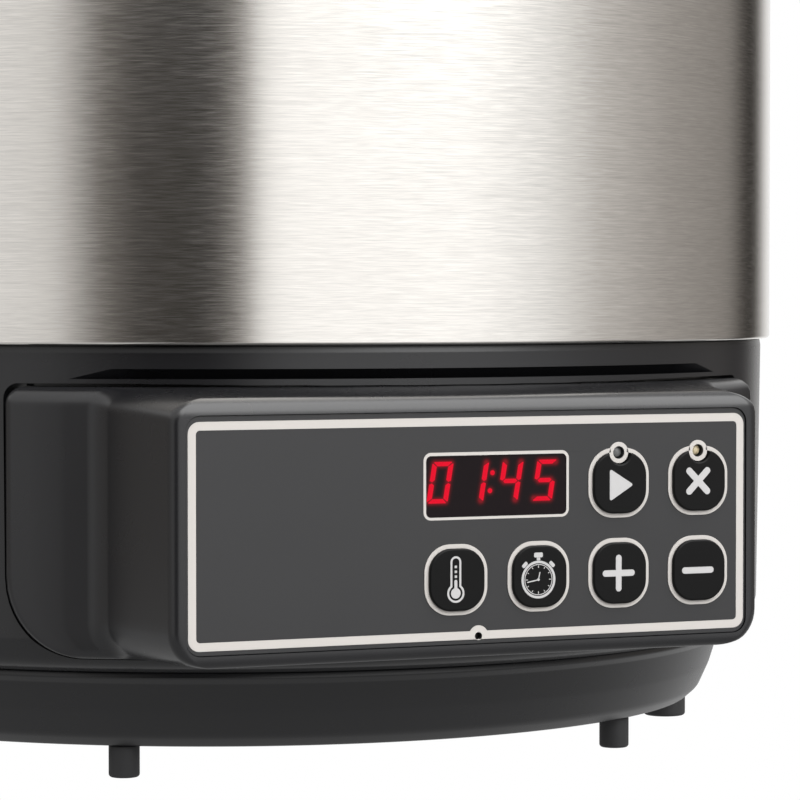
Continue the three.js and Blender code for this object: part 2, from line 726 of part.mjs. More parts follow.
addCasing();
addControls();
addHeating();
addPower();
addHandles();
addCrockAndLid();

export default cooker;
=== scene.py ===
import math

import bmesh
import bpy
from mathutils import Matrix, Vector


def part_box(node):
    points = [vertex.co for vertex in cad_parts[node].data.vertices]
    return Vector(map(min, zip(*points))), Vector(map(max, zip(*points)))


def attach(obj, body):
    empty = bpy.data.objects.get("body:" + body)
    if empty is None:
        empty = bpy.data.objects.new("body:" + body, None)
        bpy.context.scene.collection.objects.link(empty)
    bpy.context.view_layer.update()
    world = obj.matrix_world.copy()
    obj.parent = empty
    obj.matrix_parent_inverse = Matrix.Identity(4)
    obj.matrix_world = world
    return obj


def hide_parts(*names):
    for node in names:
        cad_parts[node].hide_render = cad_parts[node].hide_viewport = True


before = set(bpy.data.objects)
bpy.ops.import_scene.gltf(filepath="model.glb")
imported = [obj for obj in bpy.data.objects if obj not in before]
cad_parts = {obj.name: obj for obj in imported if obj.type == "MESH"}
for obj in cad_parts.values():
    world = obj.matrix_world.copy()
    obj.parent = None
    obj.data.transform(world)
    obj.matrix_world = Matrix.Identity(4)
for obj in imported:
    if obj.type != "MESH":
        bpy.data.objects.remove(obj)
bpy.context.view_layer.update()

# Lengths below are in millimetres, as in the CAD, and become metres when a mesh is made.
# Angles round the body count from the front (-Y), positive towards +X.

MM = 0.001
ROUND_STEPS = 256                # sides of the large turned pieces
SMALL_STEPS = 48                 # sides of feet, screws and lenses
GAP = 0.3                        # clearance that the CAD keeps between parts

PANEL_Y = -164.6                 # face of the fascia plate
CAP_Y = -165.82                  # face of a button cap
PRINT_T = 0.05                   # thickness of printed lines and icons
BAND_R = 152.5                   # outside radius of the base band
BAND_LOW, BAND_TOP = 28.6, 109.4
WALL_R = 155
FOOT_CIRCLE = 126.3
SCREW_CIRCLE = 116
PEG_R, FOOT_R = 3.95, 6
PEG_ANGLES = (-33.7, 33.7)
FOOT_ANGLES = (-67.6, 67.6, 140, 220)
SCREW_ANGLES = (45, 135, 225, 315)
LIGHT_ABOVE = 7.55               # indicator light above the centre of its button
BUTTON_NAMES = ("temperature", "timer", "plus", "minus", "play", "cancel")


# ---------- outlines and meshes ----------

def mm_box(node):
    """Lowest and highest corner of a CAD node, in millimetres."""
    low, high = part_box(node)
    return low / MM, high / MM


def around(radius, degrees):
    angle = math.radians(degrees)
    return radius * math.sin(angle), -radius * math.cos(angle)


def rounded_corner(before, corner, after, radius, steps):
    """Points of the arc of that radius that is tangent to both sides of a corner."""
    back = Vector(before) - Vector(corner)
    ahead = Vector(after) - Vector(corner)
    reach = 0.49 * min(back.length, ahead.length)
    back.normalize()
    ahead.normalize()
    half = back.angle(ahead) / 2
    tangent = min(radius / math.tan(half), reach)
    radius = tangent * math.tan(half)
    centre = Vector(corner) + (back + ahead).normalized() * (radius / math.sin(half))
    start = Vector(corner) + back * tangent - centre
    end = Vector(corner) + ahead * tangent - centre
    sweep = start.angle_signed(end)
    turns = [Matrix.Rotation(-sweep * i / steps, 2) for i in range(steps + 1)]
    return [tuple(centre + turn @ start) for turn in turns]


def filleted(corners, closed=True, steps=8):
    """A line through corners (x, y) or (x, y, radius), rounded where a radius is given."""
    points = []
    count = len(corners)
    for i, corner in enumerate(corners):
        radius = corner[2] if len(corner) > 2 else 0
        if radius <= 0 or (not closed and i in (0, count - 1)):
            points.append(tuple(corner[:2]))
            continue
        before = corners[i - 1][:2]
        after = corners[(i + 1) % count][:2]
        points += rounded_corner(before, corner[:2], after, radius, steps)
    return points


def rectangle(left, right, low, top, low_radius, top_radius=None, steps=8):
    top_radius = low_radius if top_radius is None else top_radius
    return filleted([
        (left, low, low_radius), (right, low, low_radius),
        (right, top, top_radius), (left, top, top_radius),
    ], steps=steps)


def centred(half_w, half_h, radius, steps=8):
    return rectangle(-half_w, half_w, -half_h, half_h, radius, steps=steps)


def circle(x, y, radius, steps=SMALL_STEPS):
    return [(x + radius * math.cos(2 * math.pi * i / steps),
             y + radius * math.sin(2 * math.pi * i / steps)) for i in range(steps)]


def capsule(x0, y0, x1, y1, width, steps=8):
    """A straight stroke with round ends."""
    along = Vector((x1 - x0, y1 - y0)).normalized() * width / 2
    side = Vector((-along.y, along.x))
    a, b = Vector((x0, y0)) - along, Vector((x1, y1)) + along
    corners = [a - side, b - side, b + side, a + side]
    return filleted([(*c, 0.499 * width) for c in corners], steps=steps)


def finish_mesh(mesh, crease=32):
    """Merge shared corners, point the faces outwards and smooth all but the sharp edges."""
    work = bmesh.new()
    work.from_mesh(mesh)
    bmesh.ops.remove_doubles(work, verts=work.verts, dist=1e-6)
    bmesh.ops.recalc_face_normals(work, faces=work.faces)
    work.to_mesh(mesh)
    work.free()
    mesh.shade_smooth()
    mesh.set_sharp_from_angle(angle=math.radians(crease))


def joined_mesh(name, parts):
    work = bmesh.new()
    for part in parts:
        work.from_mesh(part)
        bpy.data.meshes.remove(part)
    mesh = bpy.data.meshes.new(name)
    work.to_mesh(mesh)
    work.free()
    return mesh


def make_piece(name, mesh):
    piece = bpy.data.objects.new(name, mesh)
    bpy.context.scene.collection.objects.link(piece)
    return piece


def mesh_piece(name, points, faces, crease=32):
    mesh = bpy.data.meshes.new(name)
    mesh.from_pydata([[c * MM for c in p] for p in points], [], faces)
    finish_mesh(mesh, crease)
    return make_piece(name, mesh)


def skin(name, loops, wrap=False, cap=None, crease=32):
    """Join closed loops of equally many points, one to the next, as rows of quads.
    cap closes both ends: "face" with one face, "strips" from the loop's first half to its last."""
    count = len(loops[0])
    points = [p for loop in loops for p in loop]
    faces = []
    for row in range(len(loops) - (0 if wrap else 1)):
        here, there = row * count, (row + 1) % len(loops) * count
        for i in range(count):
            j = (i + 1) % count
            faces.append((here + i, here + j, there + j, there + i))
    for base in (0, len(points) - count):
        if cap == "face":
            faces.append(tuple(range(base, base + count)))
        elif cap == "strips":
            last = base + count - 1
            faces += [(base + i, base + i + 1, last - i - 1, last - i)
                      for i in range(count // 2 - 1)]
    return mesh_piece(name, points, faces, crease)


def turned(name, profile, steps=ROUND_STEPS, centre=(0, 0), reach=None, crease=32):
    """A body turned round the Z axis from a closed line of (radius, height) points.
    reach(radius, degrees) may change a point's radius on its way round."""
    loops = []
    for radius, height in profile:
        loop = []
        for i in range(steps):
            degrees = 360 * i / steps
            x, y = around(reach(radius, degrees) if reach else radius, degrees)
            loop.append((centre[0] + x, centre[1] + y, height))
        loops.append(loop)
    return skin(name, loops, wrap=True, crease=crease)


def facing_front(y):
    """Turns a drawing (x to the right, z up) to face -Y, with its middle at y."""
    return Matrix(((1, 0, 0, 0), (0, 0, -1, y * MM), (0, 1, 0, 0), (0, 0, 0, 1)))


def lying_flat(z):
    return Matrix.Translation((0, 0, z * MM))


def drawn_mesh(name, loops, thickness, bevel=0.0, bevel_steps=2):
    """A flat plate from closed outlines, where an outline inside another is a hole."""
    curve = bpy.data.curves.new(name, "CURVE")
    curve.dimensions = "2D"
    curve.fill_mode = "BOTH"
    curve.extrude = (thickness / 2 - bevel) * MM
    curve.bevel_depth = bevel * MM
    curve.bevel_resolution = bevel_steps
    curve.offset = -bevel * MM
    for loop in loops:
        spline = curve.splines.new("POLY")
        spline.points.add(len(loop) - 1)
        for point, (x, y) in zip(spline.points, loop):
            point.co = (x * MM, y * MM, 0, 1)
        spline.use_cyclic_u = True
    holder = bpy.data.objects.new(name, curve)
    mesh = bpy.data.meshes.new_from_object(holder)
    bpy.data.objects.remove(holder)
    bpy.data.curves.remove(curve)
    mesh.name = name
    return mesh


def plate(name, loops, thickness, place, bevel=0.0, bevel_steps=2):
    mesh = drawn_mesh(name, loops, thickness, bevel, bevel_steps)
    mesh.transform(place)
    finish_mesh(mesh)
    return make_piece(name, mesh)


def printed(name, groups, face_y, thickness=PRINT_T):
    """Ink on a face towards the front: each group is an outline with its holes."""
    mesh = joined_mesh(name, [drawn_mesh(name, loops, thickness) for loops in groups])
    mesh.transform(facing_front(face_y - thickness / 2))
    finish_mesh(mesh)
    return make_piece(name, mesh)


def shifted(loop, x, z):
    return [(a + x, b + z) for a, b in loop]


def moved(groups, x, z):
    return [[shifted(loop, x, z) for loop in loops] for loops in groups]


def combined(piece, operation, others):
    """Cut other pieces out of a piece or add them to it, and use them up."""
    for other in others:
        tool = piece.modifiers.new("combine", "BOOLEAN")
        tool.operation = operation
        tool.solver = "EXACT"
        tool.object = other
    graph = bpy.context.evaluated_depsgraph_get()
    mesh = bpy.data.meshes.new_from_object(piece.evaluated_get(graph))
    piece.modifiers.clear()
    piece.data = mesh
    finish_mesh(mesh)
    for other in others:
        bpy.data.objects.remove(other)
    return piece


def carve(piece, *cutters):
    return combined(piece, "DIFFERENCE", cutters)


def merged(piece, *others):
    """One closed piece from several that overlap."""
    return combined(piece, "UNION", others)


def triangulated(piece):
    """Split a piece's faces in triangles, so that its twisted faces cut cleanly."""
    work = bmesh.new()
    work.from_mesh(piece.data)
    bmesh.ops.triangulate(work, faces=work.faces)
    work.to_mesh(piece.data)
    work.free()
    return piece


def joined(name, pieces):
    """One piece from several that don't touch."""
    meshes = [piece.data for piece in pieces]
    for piece in pieces:
        bpy.data.objects.remove(piece)
    mesh = joined_mesh(name, meshes)
    finish_mesh(mesh)
    return make_piece(name, mesh)


def rod_facing(name, x, z, radius, back, front, steps=SMALL_STEPS):
    return plate(name, [circle(x, z, radius, steps)], back - front,
                 facing_front((back + front) / 2))


def block(name, x0, x1, y0, y1, z0, z1):
    outline = [(x0, y0), (x1, y0), (x1, y1), (x0, y1)]
    return plate(name, [outline], z1 - z0, lying_flat((z0 + z1) / 2))


def flatten_shading(piece):
    """Keep flat faces flat next to their rounded edges."""
    modifier = piece.modifiers.new("even_shading", "WEIGHTED_NORMAL")
    modifier.weight = 100
    modifier.keep_sharp = True
    return piece


def install(piece, finish, *nodes, body="base"):
    """Give a finished piece its material and body, and hide the CAD nodes it stands for."""
    piece.data.materials.clear()
    piece.data.materials.append(finish)
    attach(piece, body)
    if nodes:
        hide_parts(*nodes)
    return piece


def turned_part(name, finish, node, corners, arc_steps=6, steps=ROUND_STEPS, centre=(0, 0),
                body="base"):
    """A part turned from one rounded profile."""
    piece = turned(name, filleted(corners, steps=arc_steps), steps, centre)
    install(piece, finish, node, body=body)


# ---------- materials ----------

def display_colour(red, green, blue):
    """Linear colour from the 0 to 255 values that a screen shows."""
    def linear(value):
        share = value / 255
        return share / 12.92 if share <= 0.04045 else ((share + 0.055) / 1.055) ** 2.4
    return linear(red), linear(green), linear(blue)


class Finish:
    """A material on the Principled shader, with short calls for patterns."""

    def __init__(self, name, colour, roughness, metallic=0.0, specular=0.5):
        self.material = bpy.data.materials.new(name)
        self.material.use_nodes = True
        self.tree = self.material.node_tree
        self.shader = self.tree.nodes["Principled BSDF"]
        self.colour = colour
        self.set("Base Color", (*colour, 1))
        self.set("Roughness", roughness)
        self.set("Metallic", metallic)
        self.set("Specular IOR Level", specular)

    def set(self, socket, value):
        self.shader.inputs[socket].default_value = value
        return self

    def node(self, kind, **values):
        made = self.tree.nodes.new(kind)
        for key, value in values.items():
            made.inputs[key.replace("_", " ")].default_value = value
        return made

    def link(self, source, target):
        self.tree.links.new(source, target)

    def noise(self, size, stretch=(1, 1, 1), detail=3.0):
        """Noise whose features are about `size` millimetres, longer along a stretched axis."""
        place = self.tree.nodes.new("ShaderNodeTexCoord")
        scale = self.node("ShaderNodeMapping", Scale=tuple(1 / (size * MM * s) for s in stretch))
        texture = self.node("ShaderNodeTexNoise", Scale=1.0, Detail=detail, Roughness=0.6)
        self.link(place.outputs["Object"], scale.inputs["Vector"])
        self.link(scale.outputs["Vector"], texture.inputs["Vector"])
        return texture.outputs["Fac"]

    def mapped(self, source, low, high, start=0.2, end=0.8):
        """A noise's usual span, or another span, turned into low to high."""
        span = self.tree.nodes.new("ShaderNodeMapRange")
        sockets = ("From Min", "From Max", "To Min", "To Max")
        for socket, value in zip(sockets, (start, end, low, high)):
            span.inputs[socket].default_value = value
        self.link(source, span.inputs["Value"])
        return span.outputs["Result"]

    def product(self, a, b):
        times = self.tree.nodes.new("ShaderNodeMath")
        times.operation = "MULTIPLY"
        self.link(a, times.inputs[0])
        self.link(b, times.inputs[1])
        return times.outputs[0]

    def shade_by(self, source):
        """Multiply the base colour by a brightness."""
        scale = self.tree.nodes.new("ShaderNodeVectorMath")
        scale.operation = "SCALE"
        scale.inputs[0].default_value = self.colour
        self.link(source, scale.inputs["Scale"])
        self.link(scale.outputs[0], self.shader.inputs["Base Color"])

    def rough_by(self, source):
        self.link(source, self.shader.inputs["Roughness"])

    def bump(self, source, height, strength=1.0):
        """Relief whose full height is in millimetres."""
        relief = self.node("ShaderNodeBump", Distance=height * MM, Strength=strength)
        self.link(source, relief.inputs["Height"])
        self.link(relief.outputs["Normal"], self.shader.inputs["Normal"])

    def grained(self, source, shade=None, relief=None, rough=None):
        """Let one pattern drive shade, relief and gloss, and return the finished material."""
        if shade:
            self.shade_by(self.mapped(source, *shade))
        if rough:
            self.rough_by(self.mapped(source, *rough))
        if relief:
            self.bump(source, *relief)
        return self.material


def brushed_steel(name="brushed_steel"):
    """Stainless sheet with short and long hair lines round the body."""
    made = Finish(name, (0.67, 0.648, 0.615), 0.30, metallic=1.0)
    short = made.noise(0.22, (30, 30, 1), 2.0)
    long = made.noise(0.35, (90, 90, 1), 2.0)
    patches = made.noise(9, (9, 9, 1), 2.0)
    lines = made.product(made.mapped(short, 0.87, 1.13), made.mapped(long, 0.93, 1.07))
    made.shade_by(made.product(lines, made.mapped(patches, 0.98, 1.02)))
    made.rough_by(made.mapped(short, 0.13, 0.24))
    made.bump(short, 0.003, 0.12)
    made.set("Anisotropic", 0.55).set("Anisotropic Rotation", 0.25)
    tangent = made.tree.nodes.new("ShaderNodeTangent")
    tangent.direction_type = "RADIAL"
    tangent.axis = "Z"
    made.link(tangent.outputs[0], made.shader.inputs["Tangent"])
    return made.material


def moulded_plastic(name, colour, roughness, specular=0.5, grain=0.35, relief=0.006):
    """Moulded plastic: a fine moulding grain, faint flow marks and uneven gloss."""
    made = Finish(name, colour, roughness, specular=specular)
    fine = made.noise(grain, detail=2.0)
    flow = made.noise(24, (1, 1, 0.6), 3.0)
    made.shade_by(made.product(made.mapped(flow, 0.97, 1.03), made.mapped(fine, 0.95, 1.05)))
    made.rough_by(made.mapped(flow, roughness * 0.96, roughness * 1.04))
    made.bump(fine, relief, 0.5)
    return made.material


def metal(name, colour, roughness, stretch=(1, 1, 1), size=0.6):
    made = Finish(name, colour, roughness, metallic=1.0)
    return made.grained(made.noise(size, stretch, 4.0), (0.93, 1.05), (0.01, 0.3),
                        (roughness * 0.8, roughness * 1.2))


def rubber(name, colour):
    made = Finish(name, colour, 0.62, specular=0.35)
    return made.grained(made.noise(0.25, detail=3.0), (0.88, 1.12), (0.02, 0.6), (0.55, 0.72))


def glaze(name, colour):
    """Glazed stoneware: a deep gloss over a slightly wavy body."""
    made = Finish(name, colour, 0.12)
    wave = made.noise(14, detail=2.0)
    made.shade_by(made.mapped(made.noise(1.2, detail=4.0), 0.75, 1.3))
    made.set("Coat Weight", 0.6).set("Coat Roughness", 0.05)
    return made.grained(wave, relief=(0.35, 0.5), rough=(0.08, 0.17))


def clear_glass(name):
    made = Finish(name, (0.93, 0.965, 0.955), 0.02)
    made.set("Transmission Weight", 1.0).set("IOR", 1.5)
    return made.grained(made.noise(30, detail=1.0), relief=(0.12, 0.3))


def printed_ink(name, colour, roughness=0.4):
    made = Finish(name, colour, roughness, specular=0.4)
    return made.grained(made.noise(0.12, detail=2.0), (0.95, 1.03), (0.003, 0.4))


def lit_segment(name, colour, strength):
    made = Finish(name, tuple(0.02 * c for c in colour), 0.4, specular=0.05)
    made.set("Emission Color", (*colour, 1))
    glow = made.mapped(made.noise(0.5, detail=1.0), 0.9 * strength, 1.08 * strength)
    made.link(glow, made.shader.inputs["Emission Strength"])
    return made.material


def smoked_window(name, colour, glow_colour):
    """Dark display window, lit from behind where the attribute `glow` says so."""
    made = Finish(name, colour, 0.16, specular=0.08)
    made.set("Emission Color", (*glow_colour, 1))
    light = made.tree.nodes.new("ShaderNodeAttribute")
    light.attribute_name = "glow"
    made.link(light.outputs["Fac"], made.shader.inputs["Emission Strength"])
    return made.grained(made.noise(3, detail=2.0), (0.93, 1.07), rough=(0.13, 0.2))


def circuit_board(name):
    made = Finish(name, (0.02, 0.11, 0.05), 0.4)
    return made.grained(made.noise(2.2, detail=0.0), (0.7, 1.7, 0.45, 0.5), (0.03, 0.4))


STEEL = brushed_steel()
POLISHED = metal("polished_steel", (0.68, 0.66, 0.64), 0.14, (80, 80, 1), 0.4)
PLASTIC = moulded_plastic("base_plastic", display_colour(18, 18, 20), 0.27, specular=0.46)
FASCIA = moulded_plastic("fascia_film", display_colour(38, 38, 39), 0.42, specular=0.3, grain=0.25)
CAP = moulded_plastic("cap_black", display_colour(11, 11, 11), 0.3, specular=0.1, grain=0.3)
SILVER = printed_ink("silver_print", display_colour(172, 168, 164))
WHITE_INK = printed_ink("icon_print", display_colour(165, 164, 164))
RUBBER = rubber("foot_rubber", display_colour(40, 40, 41))
SEAL = rubber("seal_rubber", display_colour(24, 24, 25))
GLAZE = glaze("black_glaze", display_colour(22, 21, 21))
GLASS = clear_glass("lid_glass")
ALUMINIUM = metal("drawn_aluminium", (0.62, 0.63, 0.64), 0.34, (20, 20, 1), 0.5)
ZINC = metal("zinc_plate", (0.56, 0.57, 0.59), 0.38)
BOARD = circuit_board("solder_mask")
COMPONENT = moulded_plastic("component_case", display_colour(34, 34, 36), 0.5, grain=0.4)
RED_GLOW = display_colour(190, 6, 30)
WINDOW_GLASS = smoked_window("window_smoked", display_colour(17, 11, 13), RED_GLOW)
LIT_RED = lit_segment("digit_lit", display_colour(236, 12, 44), 0.95)
LENS_DARK = moulded_plastic("lens_unlit_dark", display_colour(84, 84, 84), 0.3)
LENS_AMBER = moulded_plastic("lens_unlit_amber", display_colour(186, 172, 140), 0.3)


# ---------- outer casing ----------

def wall_sheet():
    """Sheet wall with its ends turned inwards over a small bend."""
    low, high = mm_box("steel_wall")
    outside, inside, lip = high.x, high.x - 1.2, high.x - 6
    turned_part("wall_sheet", STEEL, "steel_wall", [
        (lip, low.z), (outside, low.z, 0.9), (outside, high.z, 0.9), (lip, high.z),
        (lip, high.z - 1.2), (inside, high.z - 1.2, 0.4),
        (inside, low.z + 1.2, 0.4), (lip, low.z + 1.2),
    ], 5)


GROOVE_END = 36.6                # where the groove runs out, in degrees from the front
GROOVE_DEPTH = 4.2
GROOVE_RUN_OUT = 0.64            # depth gained per degree from the groove's end
GROOVE_LOW, GROOVE_TOP = 101.4, 103.9


def off_front(degrees):
    """The angle from the front on either side."""
    return abs((degrees + 180) % 360 - 180)


def groove_reach(radius, degrees):
    """Moves the groove's cutter in at the front and out of the band past the groove's ends."""
    depth = GROOVE_RUN_OUT * (GROOVE_END - off_front(degrees))
    return radius - max(-2, min(GROOVE_DEPTH, depth))


def seam_reach(radius, degrees):
    return radius if off_front(degrees) < PAD_HALF_ANGLE else radius + 10


def screw_posts():
    """Posts inside the band for the bottom screws, each tied to the wall by a rib."""
    posts = []
    for degrees in SCREW_ANGLES:
        x, y = around(SCREW_CIRCLE, degrees)
        posts.append(turned("post", [(2, 11.4), (5, 11.4), (5, 50), (0, 50), (0, 42), (2, 42)],
                            32, (x, y)))
        rib = block("rib", -1.25, 1.25, -149.8, -SCREW_CIRCLE - 4, 36, 50)
        rib.data.transform(Matrix.Rotation(math.radians(degrees), 4, "Z"))
        posts.append(rib)
    return posts


def band_moulding():
    """Base band: rounded lower edge, vertical wall, bevelled top edge and the front groove."""
    high = mm_box("base_band")[1]
    profile = filleted([
        (141.2, BAND_LOW), (144.4, BAND_LOW, 0.5), (149.6, 30.2, 6), (151.5, 36.6, 6),
        (BAND_R, BAND_TOP - 1.6, 1.5), (BAND_R - 0.27, BAND_TOP, 0.1), (147.5, BAND_TOP),
        (147.5, high.z), (144.5, high.z),
        (144.5, 98), (148.5, 94), (148.5, 56), (140, 56), (140, 53), (148.5, 50), (148.5, 37),
        (141.2, 31.4),
    ])
    band = merged(turned("band_moulding", profile), *screw_posts())
    groove = turned("groove_cutter", [
        (BAND_R, GROOVE_LOW), (BAND_R + 14, GROOVE_LOW), (BAND_R + 14, GROOVE_TOP),
        (BAND_R + 2.6, GROOVE_TOP),
    ], reach=groove_reach)
    bed = triangulated(housing_body(
        "bed_cutter", -PAD_SEAM, BAND_R - PAD_SEAM_DEPTH, end=-PAD_END_SEAM))
    seam_low, seam_top = HOUSING_TOP, HOUSING_TOP + 0.62
    seam = turned("seam_cutter", [(146.5, seam_low), (156, seam_low), (156, seam_top),
                                  (146.5, seam_top)], reach=seam_reach)
    window = block("cable_window", -30, 30, -160, -130, 60, 84)
    inlet = block("inlet_window", -13, 13, 130, 160, 59, 73)
    carve(band, groove, bed, seam, window, inlet)
    install(flatten_shading(band), PLASTIC, "base_band")


def vent_slots():
    """Rows of cooling slots through the bottom, under the electronics."""
    slots = []
    for row in range(-3, 4):
        for side in (-1, 1):
            x = side * 26
            y = row * 9 - 18
            slots.append(plate("slot", [capsule(x - 17, y, x + 17, y, 3.2)], 20, lying_flat(9)))
    return slots


def bowl_shell():
    """Lower bowl with its beaded lip, floor, screw holes, stem holes and cooling slots."""
    low, high = mm_box("bottom_shell")
    floor_top = low.z + 2.6
    lip_top = 28.3
    profile = filleted([
        (0, low.z), (58, low.z), (59, low.z + 0.6), (61, low.z + 0.6), (62, low.z),
        (132, low.z, 1.6), (135.2, 11.3, 5), (138.2, 17.9, 10), (140.5, 25.2, 1),
        (141.9, 26.7, 0.7), (141.6, lip_top, 0.5), (140.4, lip_top),
        (140.4, high.z), (137.8, high.z), (137.2, 27), (133.8, 17.5), (129, floor_top),
        (0, floor_top),
    ], steps=6)
    shell = turned("bowl_shell", profile)
    holes = vent_slots()
    for degrees in SCREW_ANGLES:
        profile = [(0, -3), (4.5, -3), (4.5, 10.1), (2.2, 10.1), (2.2, 27), (0, 27)]
        holes.append(turned("hole", profile, 32, around(SCREW_CIRCLE, degrees)))
    for degrees in PEG_ANGLES + FOOT_ANGLES:
        x, y = around(FOOT_CIRCLE, degrees)
        holes.append(plate("hole", [circle(x, y, 2.3, 24)], 30, lying_flat(12)))
    carve(shell, joined("bottom_cutter", holes))
    install(shell, PLASTIC, "bottom_shell")


def foot(name, degrees, radius, node):
    """Moulded rubber foot with a rounded sole, a hollow under it and a stem above."""
    top = mm_box(node)[1].z
    shoulder = 8.2
    hollow = 0.45 * radius
    turned_part(name, RUBBER, node, [
        (0, 1.2), (hollow, 1.2), (hollow + 0.5, 0), (radius, 0, 0.9), (radius, shoulder, 0.4),
        (1.9, shoulder), (1.9, top, 0.5), (0, top),
    ], 5, SMALL_STEPS, around(FOOT_CIRCLE, degrees))


def cross_recess(x, y, low, reach, half_width, depth):
    """Two cutters for the cross in a screw's head, seen from below."""
    return [block("arm", x - reach, x + reach, y - half_width, y + half_width, low - 1,
                  low + depth),
            block("arm", x - half_width, x + half_width, y - reach, y + reach, low - 1.1,
                  low + depth - 0.02)]


def bottom_screw(name, degrees, node):
    """Flat-head screw, sunk in the floor, with a cross recess."""
    low, high = mm_box(node)
    seat = 9.8
    profile = filleted([
        (0, low.z), (3.9, low.z, 0.6), (4, seat, 0.15), (1.6, seat), (1.6, high.z - 2), (0, high.z),
    ], steps=5)
    x, y = around(SCREW_CIRCLE, degrees)
    screw = turned(name, profile, SMALL_STEPS, (x, y))
    carve(screw, *cross_recess(x, y, low.z, 2.3, 0.45, 0.8))
    install(screw, ZINC, node)


def top_rim():
    """Rolled steel ring over the top of the wall."""
    low, high = mm_box("top_rim")
    outside = high.x
    wall = mm_box("steel_wall")[1].x + GAP
    seat = 259.8
    turned_part("rim_ring", STEEL, "top_rim", [
        (wall, low.z), (outside, low.z, 0.5), (outside, high.z, 3.2), (133, high.z, 1.6),
        (133, seat), (wall, seat),
    ], 8)


# ---------- control housing ----------

PAD_HALF_ANGLE = 42.1            # where the pad meets the band
PAD_R = 158                      # outside radius of the pad
PAD_EDGE = 5                     # radius of the pad's outer edge
PAD_REAR_R = BAND_R + GAP
PAD_END_SEAM = 1.5               # how much wider the seam is at the pad's ends
PAD_SEAM = 0.8                   # width of the open seam round the pad, sunk in the band
PAD_SEAM_DEPTH = 3.6
BOX_FRONT = -165
BOX_HALF_FRONT = 79.5
BOX_HALF_BACK = 86               # at y = BOX_BACK
BOX_BACK = -132
HOUSING_LOW = 33
HOUSING_TOP = 99.5
BOX_TOP_DROP = 2.1               # how much lower the top is at the front than at the band
HOUSING_T = 2.5


def corner_inset(distance, radius):
    """How far a rounded corner stands in from its side, at a distance from its end."""
    if distance >= radius:
        return 0
    return radius - math.sqrt(radius ** 2 - (radius - distance) ** 2)


def side_crossing(half_front, half_back, radius):
    """Where the box's sloping side meets the pad's round face."""
    start = Vector((half_front, BOX_FRONT))
    along = Vector((half_back, BOX_BACK)) - start
    low, high = 0.0, 1.5
    for _ in range(40):
        middle = (low + high) / 2
        if (start + along * middle).length > radius:
            low = middle
        else:
            high = middle
    return start + along * low


def plan_half(pad_in, end_in, side_in, front_in, rear_r):
    """The housing's plan line on its right half, from the band round to the middle of the front."""
    pad_r = PAD_R - pad_in
    end = PAD_HALF_ANGLE - math.degrees(end_in / PAD_REAR_R)
    corner = side_crossing(BOX_HALF_FRONT - side_in, BOX_HALF_BACK - side_in, pad_r)
    corner_angle = math.degrees(math.atan2(corner.x, -corner.y))
    approach = corner_angle + 3.2
    edge = max(0.1, min(PAD_EDGE, pad_r - rear_r - 0.1))
    first_arc = end - math.degrees((edge + 0.2) / pad_r)
    line = [(*around(rear_r, end), 0), (*around(pad_r, end), edge)]
    line += [(*around(pad_r, first_arc + (approach - first_arc) * i / 6), 0) for i in range(1, 7)]
    line.append((corner.x, corner.y, 9 + side_in))
    front_x = BOX_HALF_FRONT - side_in
    line.append((front_x, BOX_FRONT + front_in, max(0.3, 3 - front_in)))
    line += [(front_x * share, BOX_FRONT + front_in, 0) for share in (0.9, 0.6, 0.3)]
    return filleted(line, closed=False) + [(0, BOX_FRONT + front_in)]


def housing_level(height, pad_in, end_in, side_in, front_in, rear_r, fall):
    """A closed plan loop: the front line, then back along the band behind it."""
    half = plan_half(pad_in, end_in, side_in, front_in, rear_r)
    front = half + [(-x, y) for x, y in reversed(half[:-1])]
    rear = []
    for x, y in reversed(front):
        rear.append(around(rear_r, math.degrees(math.atan2(x, -y))))
    loop = []
    for x, y in front + rear:
        forward = min(1, max(0, (BOX_BACK - y) / (BOX_BACK - BOX_FRONT)))
        outward = min(1, max(0, (math.hypot(x, y) - PAD_REAR_R) / 6))
        drop = fall * forward * outward if height > 60 else 0
        loop.append((x, y, height - drop))
    return loop


def housing_body(name, wall=0.0, rear_r=PAD_REAR_R, fall=BOX_TOP_DROP, end=0.0):
    """The pad and box together, or with a wall thickness their hollow inside.
    fall is how much the top slopes down to the front; without it, all of the top is as low."""
    low, top = HOUSING_LOW + wall, HOUSING_TOP - wall - (BOX_TOP_DROP - fall)
    low_steps = (0, .05, .15, .3, .54, .9, 1.3, 2, 2.8, 3.7, 4.9, 6.2, 7.6, 9, 11, 13.5, 16.5, 20)
    top_steps = (6, 5, 4, 3.1, 2.4, 1.7, 1.1, .65, .35, .15, .05, 0)
    loops = []
    for d in low_steps:
        edge = corner_inset(d, 2) + wall
        loops.append(housing_level(
            low + d, edge, corner_inset(d, 20) + wall + end, corner_inset(d, 9) + edge, edge,
            rear_r, fall))
    for d in top_steps:
        box_edge = corner_inset(d, 4) + wall
        loops.append(housing_level(
            top - d, corner_inset(d, 4.6) + wall, corner_inset(d, 4) + wall + end,
            corner_inset(d, 6) + box_edge, box_edge, rear_r, fall))
    return skin(name, loops, cap="strips")


def control_housing():
    """Pad and box in one moulding, hollow behind, with the recess for the fascia plate."""
    housing = housing_body("control_moulding")
    hollow = housing_body("hollow", HOUSING_T, 146, 0)
    low, high = mm_box("fascia_plate")
    recess_floor = high.y + GAP
    slack = 0.12
    recess = plate("recess", [rectangle(
        low.x - slack, high.x + slack, low.z - slack, high.z + slack, 3.8)], 8,
        facing_front(recess_floor - 4))
    keys = plate("key_window", [rectangle(-19, 73, 41, 88, 3)], 12, facing_front(recess_floor))
    carve(housing, hollow, recess, keys)
    install(flatten_shading(housing), PLASTIC, "control_housing")


# ---------- fascia ----------

